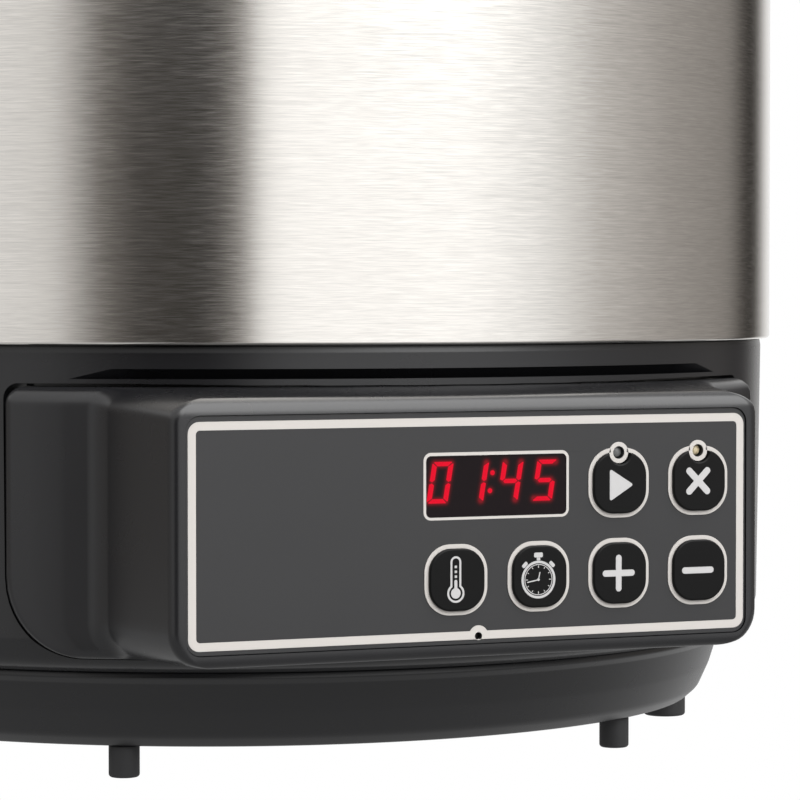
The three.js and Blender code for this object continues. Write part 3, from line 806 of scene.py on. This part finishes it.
NOTCH = (0.8, 38.2)
NOTCH_R = 1.0
RING_HALF_W, RING_HALF_H, RING_CORNER = 8.5, 8.72, 6.9
RING_WIDTH = 1.05
LIGHT_HOLE_R, LIGHT_RING_R = 1.6, 2.65


def button_centre(name):
    """Centre of a button cap in the front view, from its CAD stem side to side and low to high."""
    low, high = mm_box(f"button_{name}")
    return (low.x + high.x) / 2, (low.z + high.z) / 2


def ring_outline(grow=0.0):
    return centred(RING_HALF_W + grow, RING_HALF_H + grow, RING_CORNER + grow, 14)


def cap_outline(extra=0.0):
    return centred(7.45 + extra, 7.7 + extra, 5.9 + extra, 14)


def fascia_plate():
    low, high = mm_box("fascia_plate")
    window_low, window_high = mm_box("display_window")
    loops = [rectangle(low.x, high.x, low.z, high.z, 3.7), circle(*NOTCH, NOTCH_R, 24)]
    loops.append(rectangle(window_low.x - GAP, window_high.x + GAP,
                           window_low.z - GAP, window_high.z + GAP, 1.6))
    for name in BUTTON_NAMES:
        x, z = button_centre(name)
        if not has_light(name):
            loops.append(shifted(cap_outline(GAP), x, z))
            continue
        loops.append(shifted(notched(cap_outline(GAP), LIGHT_RING_R), x, z))
        loops.append(circle(x, z + LIGHT_ABOVE, LIGHT_HOLE_R - 0.1, 24))
    thickness = high.y - low.y
    piece = plate("fascia_panel", loops, thickness, facing_front((low.y + high.y) / 2), 0.12)
    install(flatten_shading(piece), FASCIA, "fascia_plate")


def has_light(name):
    return name in ("play", "cancel")


def opened(points):
    """The points of a loop, starting after its widest gap."""
    start = max(range(len(points)), key=lambda i: math.dist(points[i], points[i - 1]))
    return points[start:] + points[:start]


def clear_of_light(outline, radius):
    """A button's outline without what lies within a radius of its indicator light."""
    return opened([p for p in outline if math.dist(p, (0, LIGHT_ABOVE)) > radius])


def notched(outline, radius):
    """A button outline with a round bite for its indicator light at the top."""
    kept = clear_of_light(outline, radius)
    a0, a1 = (math.atan2(z - LIGHT_ABOVE, x) for x, z in (kept[-1], kept[0]))
    sweep = (a0 - a1) % (2 * math.pi)
    steps = 14
    bite = []
    for i in range(steps + 1):
        angle = a0 - sweep * i / steps
        bite.append((radius * math.cos(angle), LIGHT_ABOVE + radius * math.sin(angle)))
    return kept + bite


def frame_line():
    """Silver line round the panel, with a round bulge about the notch."""
    outer = rectangle(-75.5, 75.5, 37.43, 92.02, 2.9)
    bulge = 2.65
    top = 37.43 + 2.05
    reach = math.sqrt(bulge ** 2 - (top - NOTCH[1]) ** 2)
    start = math.atan2(top - NOTCH[1], reach)
    arc = []
    for i in range(13):
        angle = math.pi - start - (math.pi - 2 * start) * i / 12
        arc.append((NOTCH[0] + bulge * math.cos(angle), NOTCH[1] + bulge * math.sin(angle)))
    inner = [(-73.45, top, 1)] + [(x, z, 0) for x, z in arc]
    inner += [(73.45, top, 1), (73.45, 89.97, 1), (-73.45, 89.97, 1)]
    piece = printed("frame_line", [[outer, filleted(inner, steps=5), circle(*NOTCH, NOTCH_R, 24)]],
                    PANEL_Y)
    install(piece, SILVER)


def window_border():
    low, high = mm_box("display_window")
    outer = rectangle(low.x - 0.75, high.x + 0.72, low.z - 0.55, high.z + 0.75, 2)
    inner = rectangle(low.x - 0.05, high.x + 0.05, low.z + 0.1, high.z - 0.05, 1.3)
    piece = printed("window_border", [[outer, inner]], PANEL_Y)
    install(piece, SILVER)


def ring_band(name):
    """The silver ring round a button, left open where an indicator light's own ring joins it."""
    if not has_light(name):
        return [[ring_outline(), ring_outline(-RING_WIDTH)]]
    outer, inner = (clear_of_light(ring_outline(grow), 2.2) for grow in (0, -RING_WIDTH))
    strip = outer + inner[::-1]
    light_ring = [circle(0, LIGHT_ABOVE, LIGHT_RING_R), circle(0, LIGHT_ABOVE, LIGHT_HOLE_R)]
    return [[strip], light_ring]


def button_rings():
    for name in BUTTON_NAMES:
        x, z = button_centre(name)
        groups = moved(ring_band(name), x, z)
        rings = printed(f"ring_{name}", groups, PANEL_Y, 0.25)
        install(rings, SILVER)


# ---------- buttons ----------

def button_cap(name):
    """Cap with rounded shoulders, retaining flange and stem."""
    x, z = button_centre(name)
    high = mm_box(f"button_{name}")[1]
    fascia_back = mm_box("fascia_plate")[1].y
    outline = notched(cap_outline(), LIGHT_RING_R + GAP) if has_light(name) else cap_outline()
    flange = notched(cap_outline(0.9), LIGHT_RING_R + GAP) if has_light(name) else cap_outline(0.9)
    depth = fascia_back + 0.5 - CAP_Y
    cap = plate(f"cap_{name}", [shifted(outline, x, z)], depth,
                facing_front(CAP_Y + depth / 2), 0.45, 4)
    back = plate("flange", [shifted(flange, x, z)], 1, facing_front(fascia_back + 0.8))
    stem = rod_facing("stem", x, z, 2, high.y, fascia_back + 1)
    piece = merged(cap, back, stem)
    install(flatten_shading(piece), CAP, f"button_{name}", body=f"button_{name}")


def cross_outline(long, tall, width):
    """A plus sign with round arm ends."""
    a, b, w = long / 2, tall / 2, width / 2
    tip = 0.49 * width
    return filleted([
        (-w, -b, tip), (w, -b, tip), (w, -w), (a, -w, tip), (a, w, tip), (w, w),
        (w, b, tip), (-w, b, tip), (-w, w), (-a, w, tip), (-a, -w, tip), (-w, -w),
    ], steps=5)


def turned_by(loop, degrees):
    angle = math.radians(degrees)
    cos, sin = math.cos(angle), math.sin(angle)
    return [(x * cos - y * sin, x * sin + y * cos) for x, y in loop]


def keyhole(half_width, bulb_r, top, bulb_z):
    """Outline of a thermometer: a round-topped stem on a round bulb."""
    join = math.asin(half_width / bulb_r)
    points = []
    for i in range(13):
        angle = math.pi * i / 12
        points.append((half_width * math.cos(angle),
                       top - half_width + half_width * math.sin(angle)))
    for i in range(25):
        angle = math.pi / 2 + join + (2 * math.pi - 2 * join) * i / 24
        points.append((bulb_r * math.cos(angle), bulb_z + bulb_r * math.sin(angle)))
    return points


def square(x, z, size):
    half = size / 2
    return [(x - half, z - half), (x + half, z - half), (x + half, z + half), (x - half, z + half)]


def thermometer_icon():
    line = [keyhole(1.45, 2.32, 5.75, -3.35), keyhole(0.95, 1.82, 5.25, -3.35)]
    mercury = [keyhole(0.4, 1.3, -0.05, -3.35)]
    marks = [[square(0, 0.75 + 1.2 * i, 0.62)] for i in range(3)]
    return [line, mercury, *marks]


def stopwatch_icon():
    dial_z = -0.75
    groups = [
        [circle(0, dial_z, 4.68), circle(0, dial_z, 4.08)],
        [circle(0, dial_z, 3.84), circle(0, dial_z, 3.66)],
        [circle(0, dial_z, 0.36, 16)],
    ]
    for hour in range(12):
        angle = math.radians(30 * hour)
        x, z = math.sin(angle), math.cos(angle)
        inner = 3.0 if hour % 3 == 0 else 3.15
        groups.append([capsule(inner * x, dial_z + inner * z, 3.4 * x, dial_z + 3.4 * z, 0.2, 4)])
    groups.append([capsule(0.1, dial_z + 0.45, 0.4, dial_z + 1.75, 0.26, 4)])
    groups.append([capsule(-0.45, dial_z - 0.12, -3.0, dial_z - 0.6, 0.26, 4)])
    groups.append([rectangle(-1.2, 1.2, 4.75, 5.95, 0.35, steps=4)])
    groups.append([rectangle(-0.48, 0.48, 4.0, 4.7, 0.1, steps=4)])
    for side in (-45, 45):
        pusher = turned_by(rectangle(-0.85, 0.85, 4.85, 5.75, 0.3, steps=4), -side)
        groups.append([shifted(pusher, 0, dial_z)])
    return groups


def button_icon(name):
    if name == "plus":
        return [[cross_outline(9.05, 9.2, 1.6)]]
    if name == "minus":
        return [[capsule(-3.75, 0, 3.75, 0, 1.6)]]
    if name == "cancel":
        return [[turned_by(cross_outline(9.0, 9.0, 1.75), 45)]]
    if name == "play":
        return [[filleted([(-2.9, -4.1, 0.4), (3.8, 0, 0.4), (-2.9, 4.1, 0.4)])]]
    return thermometer_icon() if name == "temperature" else stopwatch_icon()


ICON_PLACES = {
    "temperature": (-0.53, 0.1), "timer": (-0.53, 0), "plus": (-0.5, 0), "minus": (-0.5, 0),
    "play": (-0.15, -0.5), "cancel": (-0.45, -0.1),
}


def button_icons():
    for name in BUTTON_NAMES:
        x, z = button_centre(name)
        dx, dz = ICON_PLACES[name]
        icon = printed(f"icon_{name}", moved(button_icon(name), x + dx, z + dz), CAP_Y)
        install(icon, WHITE_INK, body=f"button_{name}")


def indicator_lens(name, finish, dome):
    """Round light pipe behind the fascia, with a domed end."""
    low, high = mm_box(f"light_{name}")
    x, z = (low.x + high.x) / 2, (low.z + high.z) / 2
    radius = 1.4
    length = high.y - low.y
    profile = filleted([(0, 0), (radius, 0), (radius, length - dome, dome), (0, length)], steps=6)
    lens = turned(f"lens_{name}", profile, SMALL_STEPS)
    turn = Matrix(((1, 0, 0, x * MM), (0, 0, -1, high.y * MM), (0, 1, 0, z * MM), (0, 0, 0, 1)))
    lens.data.transform(turn)
    install(lens, finish, f"light_{name}")


# ---------- display ----------

SLANT = math.tan(math.radians(9.7))
DIGIT_LOW = 71.1
DIGIT_W, DIGIT_H = 5.7, 10.15
STROKE_V, STROKE_H = 1.3, 1.06
SEGMENT_GAP = 0.14
DIGIT_LEFTS = (-13.25, -3.6, 5.85, 15.35)
LIT = {"0": "abcdef", "1": "bc", "4": "bcfg", "5": "acdfg"}
READING = "0145"
COLON = ((4.7, 78.3), (4.0, 73.9))


def slanted(loop, left):
    """Lean an upright cell to the right and put it in its place on the display."""
    return [(left + x + SLANT * z, DIGIT_LOW + z) for x, z in loop]


def segment_shapes():
    """Outlines of the seven segments in an upright cell whose lower left corner is (0, 0)."""
    w, h, v, t, g = DIGIT_W, DIGIT_H, STROKE_V, STROKE_H, SEGMENT_GAP
    middle = h / 2
    top = [(0.45 + g, h), (w - 0.45 - g, h), (w - 0.3 - g, h - 0.2), (w - v - g, h - t),
           (v + g, h - t), (0.3 + g, h - 0.2)]
    upper = [(w, h - 0.5), (w, middle + 0.45), (w - v / 2, middle + g), (w - v, middle + t / 2 + g),
             (w - v, h - t - g), (w - 0.25, h - 0.3 - g)]
    level = [(v * 0.6 + g, middle), (v + g, middle + t / 2), (w - v - g, middle + t / 2),
             (w - v * 0.6 - g, middle), (w - v - g, middle - t / 2), (v + g, middle - t / 2)]
    def across(shape):
        return [(w - x, z) for x, z in shape]
    def down(shape):
        return [(x, h - z) for x, z in shape]
    return {"a": top, "b": upper, "c": down(upper), "d": down(top), "e": across(down(upper)),
            "f": across(upper), "g": level}


def segment_lines():
    """The middle line of each segment, as its two ends."""
    left, right = STROKE_V / 2, DIGIT_W - STROKE_V / 2
    low, high, middle = STROKE_H / 2, DIGIT_H - STROKE_H / 2, DIGIT_H / 2
    rise = 0.6
    return {
        "a": [(left, high), (right, high)], "d": [(left, low), (right, low)],
        "g": [(left + rise, middle), (right - rise, middle)],
        "f": [(left, middle + rise), (left, high)], "b": [(right, middle + rise), (right, high)],
        "e": [(left, low), (left, middle - rise)], "c": [(right, low), (right, middle - rise)],
    }


def lit_parts(parts):
    """The parts of every lit segment, in their places on the display."""
    return [slanted(parts[key], left) for left, digit in zip(DIGIT_LEFTS, READING)
            for key in LIT[digit]]


def display_digits():
    groups = [[loop] for loop in lit_parts(segment_shapes())]
    groups += [[circle(x, z, 0.62, 20)] for x, z in COLON]
    face = mm_box("display_window")[0].y
    piece = printed("display_digits", groups, face, 0.03)
    install(piece, LIT_RED)


def distance_to_line(x, z, x0, z0, x1, z1):
    along = Vector((x1 - x0, z1 - z0))
    share = max(0, min(1, Vector((x - x0, z - z0)).dot(along) / max(along.length_squared, 1e-9)))
    return math.hypot(x - x0 - share * along.x, z - z0 - share * along.y)


def glow_at(x, z, lines):
    nearest = min(distance_to_line(x, z, *line) for line in lines)
    return 0.4 * math.exp(-(max(0, nearest - 0.45) / 0.42) ** 1.4)


def display_window():
    """Dark window pane; a fine grid on its face carries the glow round the lit digits."""
    low, high = mm_box("display_window")
    lines = [(*dot, *dot) for dot in COLON]
    lines += [(*start, *end) for start, end in lit_parts(segment_lines())]
    across, up = 128, 52
    points = []
    for back in (False, True):
        for row in range(up + 1):
            for column in range(across + 1):
                x = low.x + (high.x - low.x) * column / across
                z = low.z + (high.z - low.z) * row / up
                points.append((x, high.y if back else low.y, z))
    faces = pane_faces(across, up)
    pane = mesh_piece("window_pane", points, faces)
    glow = pane.data.attributes.new("glow", "FLOAT", "POINT")
    for vertex, value in zip(pane.data.vertices, glow.data):
        front = vertex.co.y / MM < low.y + 0.1
        value.value = glow_at(vertex.co.x / MM, vertex.co.z / MM, lines) if front else 0
    install(pane, WINDOW_GLASS, "display_window")


def pane_faces(across, up):
    """Faces of a closed pane whose front and back grids follow each other in one list of points."""
    width = across + 1
    half = width * (up + 1)
    faces = []
    for start in (0, half):
        for row in range(up):
            for column in range(across):
                a = start + row * width + column
                faces.append((a, a + 1, a + width + 1, a + width))
    rim = list(range(width)) + [r * width + across for r in range(1, up + 1)]
    rim += [up * width + c for c in range(across - 1, -1, -1)]
    rim += [r * width for r in range(up - 1, 0, -1)]
    for a, b in zip(rim, rim[1:] + rim[:1]):
        faces.append((a, b, b + half, a + half))
    return faces


# ---------- heating well, crock and handles ----------

def heating_liner():
    """Pressed well that the crock hangs in, with a flange under the rim."""
    low, high = mm_box("heating_liner")
    inside, outside = 131, 132.2
    turned_part("heating_well", ALUMINIUM, "heating_liner", [
        (0, low.z), (125, low.z, 9), (outside, 80, 9), (outside, high.z - 1.2, 0.6),
        (150, high.z - 1.2), (150, high.z), (inside, high.z, 2), (inside, 80, 8), (124.5, 73.2, 8),
        (96, 73.2, 1), (95, 73.9, 1), (42, 73.9, 1), (41, 73.2, 1), (0, 73.2),
    ])


HANDLE_MIDDLE = 235
HANDLE_HALF = 12
HANDLE_SCREW_Y = 42


def bezier(start, pull_a, pull_b, end, share):
    rest = 1 - share
    return tuple(rest ** 3 * a + 3 * rest ** 2 * share * b + 3 * rest * share ** 2 * c
                 + share ** 3 * d for a, b, c, d in zip(start, pull_a, pull_b, end))


def handle_stations():
    """Pairs of points on the handle's outer and inner outline, from one end to the other."""
    pairs = [((146, -54), (146, -31)), ((152, -54), (152, -31)), ((158, -54), (158, -31))]
    for i in range(1, 17):
        share = i / 16
        outer = bezier((158, -54), (176, -50), (190, -46), (190, -30), share)
        if share < 0.3:
            inner = (158 + 10 * share / 0.3, -31)
        else:
            turn = math.pi / 2 * (share - 0.3) / 0.7
            inner = (168 + 8 * math.sin(turn), -23 - 8 * math.cos(turn))
        pairs.append((outer, inner))
    pairs += [((190, -30 + 7.5 * i), (176, -23 + 5.75 * i)) for i in range(1, 5)]
    return pairs + [((a, -b), (c, -d)) for (a, b), (c, d) in reversed(pairs[:-1])]


def handle(side, turn):
    """Loop handle: a rounded grip between two arms that widen towards the wall."""
    loops = []
    for outer, inner in handle_stations():
        width = math.dist(outer, inner)
        section = rectangle(0, width, -HANDLE_HALF, HANDLE_HALF, 5.5, steps=6)
        loop = []
        for across, up in section:
            share = across / width
            loop.append((inner[0] + (outer[0] - inner[0]) * share,
                         inner[1] + (outer[1] - inner[1]) * share, HANDLE_MIDDLE + up))
        loops.append(loop)
    grip = skin(f"grip_{side}", loops, cap="face")
    space = WALL_R + GAP
    wall = turned("wall_cutter", [(0, 210), (space, 210), (space, 260), (0, 260)])
    pilots = []
    for y in (-HANDLE_SCREW_Y, HANDLE_SCREW_Y):
        pilot = turned("pilot", [(0, 130), (2, 130), (2, 165), (0, 165)], 24)
        pilot.data.transform(Matrix.Rotation(math.pi / 2, 4, "Y"))
        pilot.data.transform(Matrix.Translation((0, y * MM, HANDLE_MIDDLE * MM)))
        pilots.append(pilot)
    carve(grip, wall, *pilots)
    grip.data.transform(Matrix.Rotation(turn, 4, "Z"))
    install(flatten_shading(grip), PLASTIC, f"handle_{side}")


EAR_REACH = 163
EAR_ROOT_R = 143                 # what lies inside this radius stays round
FLANGE_R = 148


def ear_reach(radius, degrees):
    """Draws the crock's flange out to an ear on each side."""
    if radius < EAR_ROOT_R:
        return radius
    off = abs(off_front(degrees) - 90)
    full, end = 8.0, 16.0
    square = EAR_REACH / math.cos(math.radians(min(off, full)))
    share = max(0, min(1, (off - full) / (end - full)))
    blend = 1 - share * share * (3 - 2 * share)
    return radius + (square - FLANGE_R) * blend


def crock():
    """Glazed stoneware pot with a thick rounded flange and two ears."""
    low, high = mm_box("crock")
    flange_low = 266.3
    profile = filleted([
        (0, 79), (98, 79, 1), (101, low.z, 1.5), (110, low.z, 4), (121, 81, 10), (125.5, 95, 14),
        (127, flange_low, 1.5), (FLANGE_R, flange_low, 1.8), (FLANGE_R, high.z, 3),
        (141, high.z, 1.2), (141, 270, 1), (123.5, 270, 3), (121, 264, 6), (119.5, 100, 16),
        (112, 86, 16), (98, 84, 10), (0, 84),
    ], steps=6)
    pot = turned("stoneware_pot", profile, 360, reach=ear_reach, crease=50)
    install(pot, GLAZE, "crock", body="crock")


# ---------- lid ----------

LID_R = 139
LID_SEAT = 270.3
GLASS_R = 135
GLASS_T = 4
GLASS_TOP = 301
VENT_Y = 72


def dome(radius):
    """Height of the glass's upper face at a radius."""
    edge = LID_SEAT + 6
    return edge + (GLASS_TOP - edge) * (1 - (radius / LID_R) ** 2.4)


def lid_glass():
    stations = [GLASS_R * i / 24 for i in range(25)]
    lower = [(r, dome(r) - GLASS_T) for r in stations]
    upper = [(r, dome(r)) for r in reversed(stations)]
    pane = turned("dome_glass", lower + upper)
    knob_hole = turned("knob_hole", [(0, 285), (3.6, 285), (3.6, 310), (0, 310)], 32)
    vent_hole = turned("vent_hole", [(0, 280), (4.2, 280), (4.2, 310), (0, 310)], 32, (0, VENT_Y))
    carve(pane, knob_hole, vent_hole)
    install(pane, GLASS, "lid_glass", body="lid")


def lid_rim_band():
    """Steel band folded round the edge of the glass."""
    glass_low, glass_top = dome(GLASS_R) - GLASS_T - GAP, dome(GLASS_R) + GAP
    turned_part("lid_band", POLISHED, "lid_rim_band", [
        (131.5, LID_SEAT, 0.6), (LID_R, LID_SEAT, 1.2), (LID_R, glass_top + 0.6, 2.4),
        (132.4, glass_top + 2.6, 0.4), (132.4, glass_top + 1.4), (GLASS_R + GAP, glass_top),
        (GLASS_R + GAP, glass_low), (131.5, glass_low),
    ], 5, body="lid")


def steam_vent():
    top = dome(VENT_Y)
    low = top - GLASS_T
    turned_part("vent_grommet", SEAL, "steam_vent", [
        (1.2, low - 4), (6.4, low - 4, 0.5), (6.4, low - 2.4, 0.5), (3.8, low - 2),
        (3.8, top + 1.3), (6.4, top + 1.6, 0.4), (6.4, top + 3.8, 1.4), (1.2, top + 3.8, 0.5),
    ], 4, SMALL_STEPS, (0, VENT_Y), body="lid")


def knob_washer():
    low, high = mm_box("knob_washer")
    turned_part("knob_seal", SEAL, "knob_washer", [
        (3.2, low.z), (13, low.z, 0.5), (13, high.z, 0.6), (3.2, high.z),
    ], 4, 64, body="lid")


def lid_knob():
    """Waisted knob with a broad, slightly dished cap."""
    low, high = mm_box("lid_knob")
    turned_part("knob_moulding", PLASTIC, "lid_knob", [
        (2.4, low.z), (15, low.z, 0.8), (14.3, low.z + 3, 2), (10.8, low.z + 7.5, 5),
        (10.8, low.z + 12, 5), (16, low.z + 16.6, 6), (22.6, low.z + 19.6, 3),
        (24, low.z + 22.5, 2), (23.2, high.z - 3.6, 2), (18.5, high.z, 4),
        (13, high.z - 0.9, 8), (0, high.z - 1.6),
        (0, low.z + 15), (2.4, low.z + 15),
    ], steps=96, body="lid")


def knob_screw():
    low, high = mm_box("knob_screw")
    profile = filleted([
        (0, low.z), (5, low.z, 1.5), (7, low.z + 1.8, 0.5), (7, low.z + 3, 0.2), (2.1, low.z + 3),
        (2.1, high.z - 1), (0, high.z),
    ], steps=5)
    screw = turned("knob_bolt", profile, SMALL_STEPS)
    carve(screw, *cross_recess(0, 0, low.z, 3, 0.5, 1.3))
    install(screw, ZINC, "knob_screw", body="lid")


# ---------- mains inlet ----------

INLET_Z = 66
PIN_NUMBERS = (1, 2, 3)


def upright_stack(name, rows, x=0, z=INLET_Z, **ends):
    """Skin over upright rounded rectangles, each (half width, half height, corner radius, y)."""
    loops = []
    for half_w, half_h, radius, y in rows:
        loops.append([(x + a, y, z + b) for a, b in centred(half_w, half_h, radius, 6)])
    return skin(name, loops, **ends)


def rear_housing():
    """Boss round the mains inlet, rounded at its outer edge and curved to the band behind."""
    back = mm_box("rear_housing")[1].y
    edge = 3.2
    rows = [(24, 18, 6, 120)]
    for i in range(7):
        turn = math.pi / 2 * i / 6
        inset = edge * (1 - math.cos(turn))
        rows.append((24 - inset, 18 - inset, 6, back - edge + edge * math.sin(turn)))
    rows += [(15.6, 11.8, 3.4, back), (15, 11.2, 3, back - 0.6), (15, 11.2, 3, 120)]
    boss = upright_stack("inlet_boss", rows, wrap=True)
    space = BAND_R + GAP
    carve(boss, turned("band_cutter", [(0, 20), (space, 20), (space, 110), (0, 110)]))
    install(flatten_shading(boss), PLASTIC, "rear_housing")


def inlet_body():
    """Socket with rounded lips and a hole for each pin."""
    low, high = mm_box("inlet_body")
    socket = upright_stack("inlet_socket", [
        (14.7, 10.9, 2.7, low.y), (14.7, 10.9, 2.7, high.y - 0.5), (14.2, 10.4, 2.4, high.y),
        (12.6, 8.6, 3.2, high.y), (12.2, 8.2, 3, high.y - 0.5), (12.2, 8.2, 3, low.y + 2),
    ], cap="face")
    holes = []
    for number in PIN_NUMBERS:
        pin_low, pin_high = mm_box(f"inlet_pin_{number}")
        outline = rectangle(pin_low.x - GAP, pin_high.x + GAP, pin_low.z - GAP, pin_high.z + GAP,
                            GAP, steps=3)
        holes.append(plate("pin_hole", [outline], 12, facing_front(low.y)))
    carve(socket, *holes)
    install(flatten_shading(socket), COMPONENT, "inlet_body")


def inlet_pin(number):
    """Flat blade with rounded edges and a tapered tip."""
    low, high = mm_box(f"inlet_pin_{number}")
    x, z = (low.x + high.x) / 2, (low.z + high.z) / 2
    half_w, half_h = (high.x - low.x) / 2, (high.z - low.z) / 2
    pin = upright_stack(f"blade_{number}", [
        (half_w, half_h, 0.4, low.y), (half_w, half_h, 0.4, high.y - 1.2),
        (half_w - 0.25, half_h - 0.4, 0.4, high.y - 0.4), (half_w - 0.6, half_h - 0.9, 0.3, high.y),
    ], x, z, cap="face")
    install(flatten_shading(pin), ZINC, f"inlet_pin_{number}")


def dress_inner_parts():
    """Give the CAD parts that stay in view inside the casing their own finishes."""
    finishes = {
        ZINC: ("side_heater", "bottom_heater", "heat_shield",
               *(f"handle_screw_{side}_{n}" for side in ("right", "left") for n in (1, 2))),
        ALUMINIUM: ("temperature_sensor",),
        BOARD: ("control_board", "power_board"),
        COMPONENT: ("display_module", "thermal_fuse", "transformer", "relay",
                    *(f"switch_{name}" for name in BUTTON_NAMES)),
    }
    for finish, names in finishes.items():
        for name in names:
            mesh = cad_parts[name].data
            mesh.materials.clear()
            mesh.materials.append(finish)


# ---------- stage ----------

def camera():
    data = bpy.data.cameras.new("camera")
    data.sensor_width = 36
    data.lens = 156.8
    data.clip_end = 50
    made = bpy.data.objects.new("camera", data)
    made.location = (-0.36996, -0.93462, 0.12345)
    made.rotation_euler = (math.radians(88.177), 0, math.radians(-24.418))
    bpy.context.scene.collection.objects.link(made)
    bpy.context.scene.camera = made


# Brightness of the studio by direction round the object, in degrees from the front, positive
# towards +X: a wide softbox in front, flags beside it and softer fill further round.
STUDIO = (
    (-180, 0.60), (-150, 0.38), (-134, 0.36), (-110, 0.50), (-80, 0.75), (-70, 0.97), (-57, 0.86),
    (-47, 0.18), (-40, 0.06), (-27, 0.03), (-22, 0.08), (-18, 0.32), (-14.5, 1.24), (-11, 1.38),
    (28, 1.42), (45, 1.08), (60, 0.66), (80, 0.43), (105, 0.30), (114, 0.08), (119, 0.03),
    (124, 0.10), (134, 0.82), (146, 1.05), (162, 1.60), (180, 0.60),
)
SOFTBOX_DIRECTION = (0.26, -0.58, 0.76)      # a further softbox above the front
SOFTBOX_POWER = 4.5
SOFTBOX_EDGE, SOFTBOX_CORE = 0.78, 0.86      # cosines of the angles from its middle
OVERHEAD_LIGHT = (1.4, 1.39, 1.38, 1)
OVERHEAD_FROM, OVERHEAD_FULL = 0.2, 0.5      # upward part of the direction
TABLE_GLOW = 0.6


def studio_world():
    """Light from the directions of STUDIO, fading to an overhead light; plain white in view."""
    world = bpy.data.worlds.new("studio")
    world.use_nodes = True
    bpy.context.scene.world = world
    tree = world.node_tree
    tree.nodes.clear()

    def add(kind, values=None, **settings):
        node = tree.nodes.new(f"ShaderNode{kind}")
        for key, value in settings.items():
            setattr(node, key, value)
        for key, value in (values or {}).items():
            node.inputs[key].default_value = value
        return node

    place = add("TexCoord").outputs["Generated"]
    split = add("SeparateXYZ")
    flip = add("Math", {1: -1}, operation="MULTIPLY")
    angle = add("Math", operation="ARCTAN2")
    share = add("MapRange", {"From Min": -math.pi, "From Max": math.pi})
    ramp = add("ValToRGB")
    fill_ramp(ramp.color_ramp)
    lift = add("MapRange", {"From Min": OVERHEAD_FROM, "From Max": OVERHEAD_FULL},
               interpolation_type="SMOOTHSTEP")
    overhead = add("Mix", {"B": OVERHEAD_LIGHT}, data_type="RGBA")
    towards = add("VectorMath", {1: Vector(SOFTBOX_DIRECTION).normalized()},
                  operation="DOT_PRODUCT")
    spot = add("MapRange", {"From Min": SOFTBOX_EDGE, "From Max": SOFTBOX_CORE,
                            "To Max": SOFTBOX_POWER}, interpolation_type="SMOOTHSTEP")
    total = add("VectorMath", operation="ADD")
    light = add("Background")
    backdrop = add("Background", {"Color": (1, 1, 1, 1)})
    pick = add("MixShader")
    for source, target in (
        (place, split.inputs[0]), (split.outputs["Y"], flip.inputs[0]),
        (split.outputs["X"], angle.inputs[0]), (flip.outputs[0], angle.inputs[1]),
        (angle.outputs[0], share.inputs["Value"]), (share.outputs["Result"], ramp.inputs["Fac"]),
        (split.outputs["Z"], lift.inputs["Value"]),
        (lift.outputs["Result"], overhead.inputs["Factor"]),
        (ramp.outputs["Color"], overhead.inputs["A"]),
        (overhead.outputs["Result"], total.inputs[0]),
        (place, towards.inputs[0]), (towards.outputs["Value"], spot.inputs["Value"]),
        (spot.outputs["Result"], total.inputs[1]), (total.outputs[0], light.inputs["Color"]),
        (add("LightPath").outputs["Is Camera Ray"], pick.inputs["Fac"]),
        (light.outputs[0], pick.inputs[1]), (backdrop.outputs[0], pick.inputs[2]),
        (pick.outputs[0], add("OutputWorld").inputs["Surface"]),
    ):
        tree.links.new(source, target)


def fill_ramp(ramp):
    """Put the studio's brightness on a colour ramp, warmer where it is dim."""
    while len(ramp.elements) > 1:
        ramp.elements.remove(ramp.elements[-1])
    for i, (degrees, value) in enumerate(STUDIO):
        position = (degrees + 180) / 360
        stop = ramp.elements[0] if i == 0 else ramp.elements.new(position)
        stop.position = position
        shade = 1 - min(value, 1)
        stop.color = (value, value * (1 - 0.09 * shade), value * (1 - 0.17 * shade), 1)


def floor():
    """Light-table top: white in view, and dimmer in what the object reflects."""
    table = Finish("table_white", (0, 0, 0), 0.9, specular=0)
    table.set("Emission Color", (1, 1, 1, 1))
    path = table.tree.nodes.new("ShaderNodeLightPath")
    power = table.mapped(path.outputs["Is Camera Ray"], TABLE_GLOW, 1, 0, 1)
    table.link(power, table.shader.inputs["Emission Strength"])
    top = plate("table_top", [circle(0, 0, 360, 96)], 4, lying_flat(-2.05))
    top.data.materials.append(table.material)


bpy.context.scene.view_settings.view_transform = "Standard"
for build in (camera, studio_world, floor, wall_sheet, band_moulding, bowl_shell, top_rim):
    build()
for number, degrees in enumerate(PEG_ANGLES, 1):
    foot(f"peg_{number}", degrees, PEG_R, f"front_peg_{number}")
for number, degrees in enumerate(FOOT_ANGLES, 1):
    foot(f"broad_foot_{number}", degrees, FOOT_R, f"foot_{number}")
for number, degrees in enumerate(SCREW_ANGLES, 1):
    bottom_screw(f"shell_screw_{number}", degrees, f"bottom_screw_{number}")
for build in (control_housing, fascia_plate, frame_line, window_border, button_rings):
    build()
for button in BUTTON_NAMES:
    button_cap(button)
button_icons()
indicator_lens("play", LENS_DARK, 0.5)
indicator_lens("cancel", LENS_AMBER, 0.9)
for build in (display_window, display_digits, heating_liner):
    build()
handle("right", 0)
handle("left", math.pi)
for build in (crock, lid_glass, lid_rim_band, steam_vent, knob_washer, lid_knob, knob_screw,
              rear_housing, inlet_body):
    build()
for number in PIN_NUMBERS:
    inlet_pin(number)
dress_inner_parts()
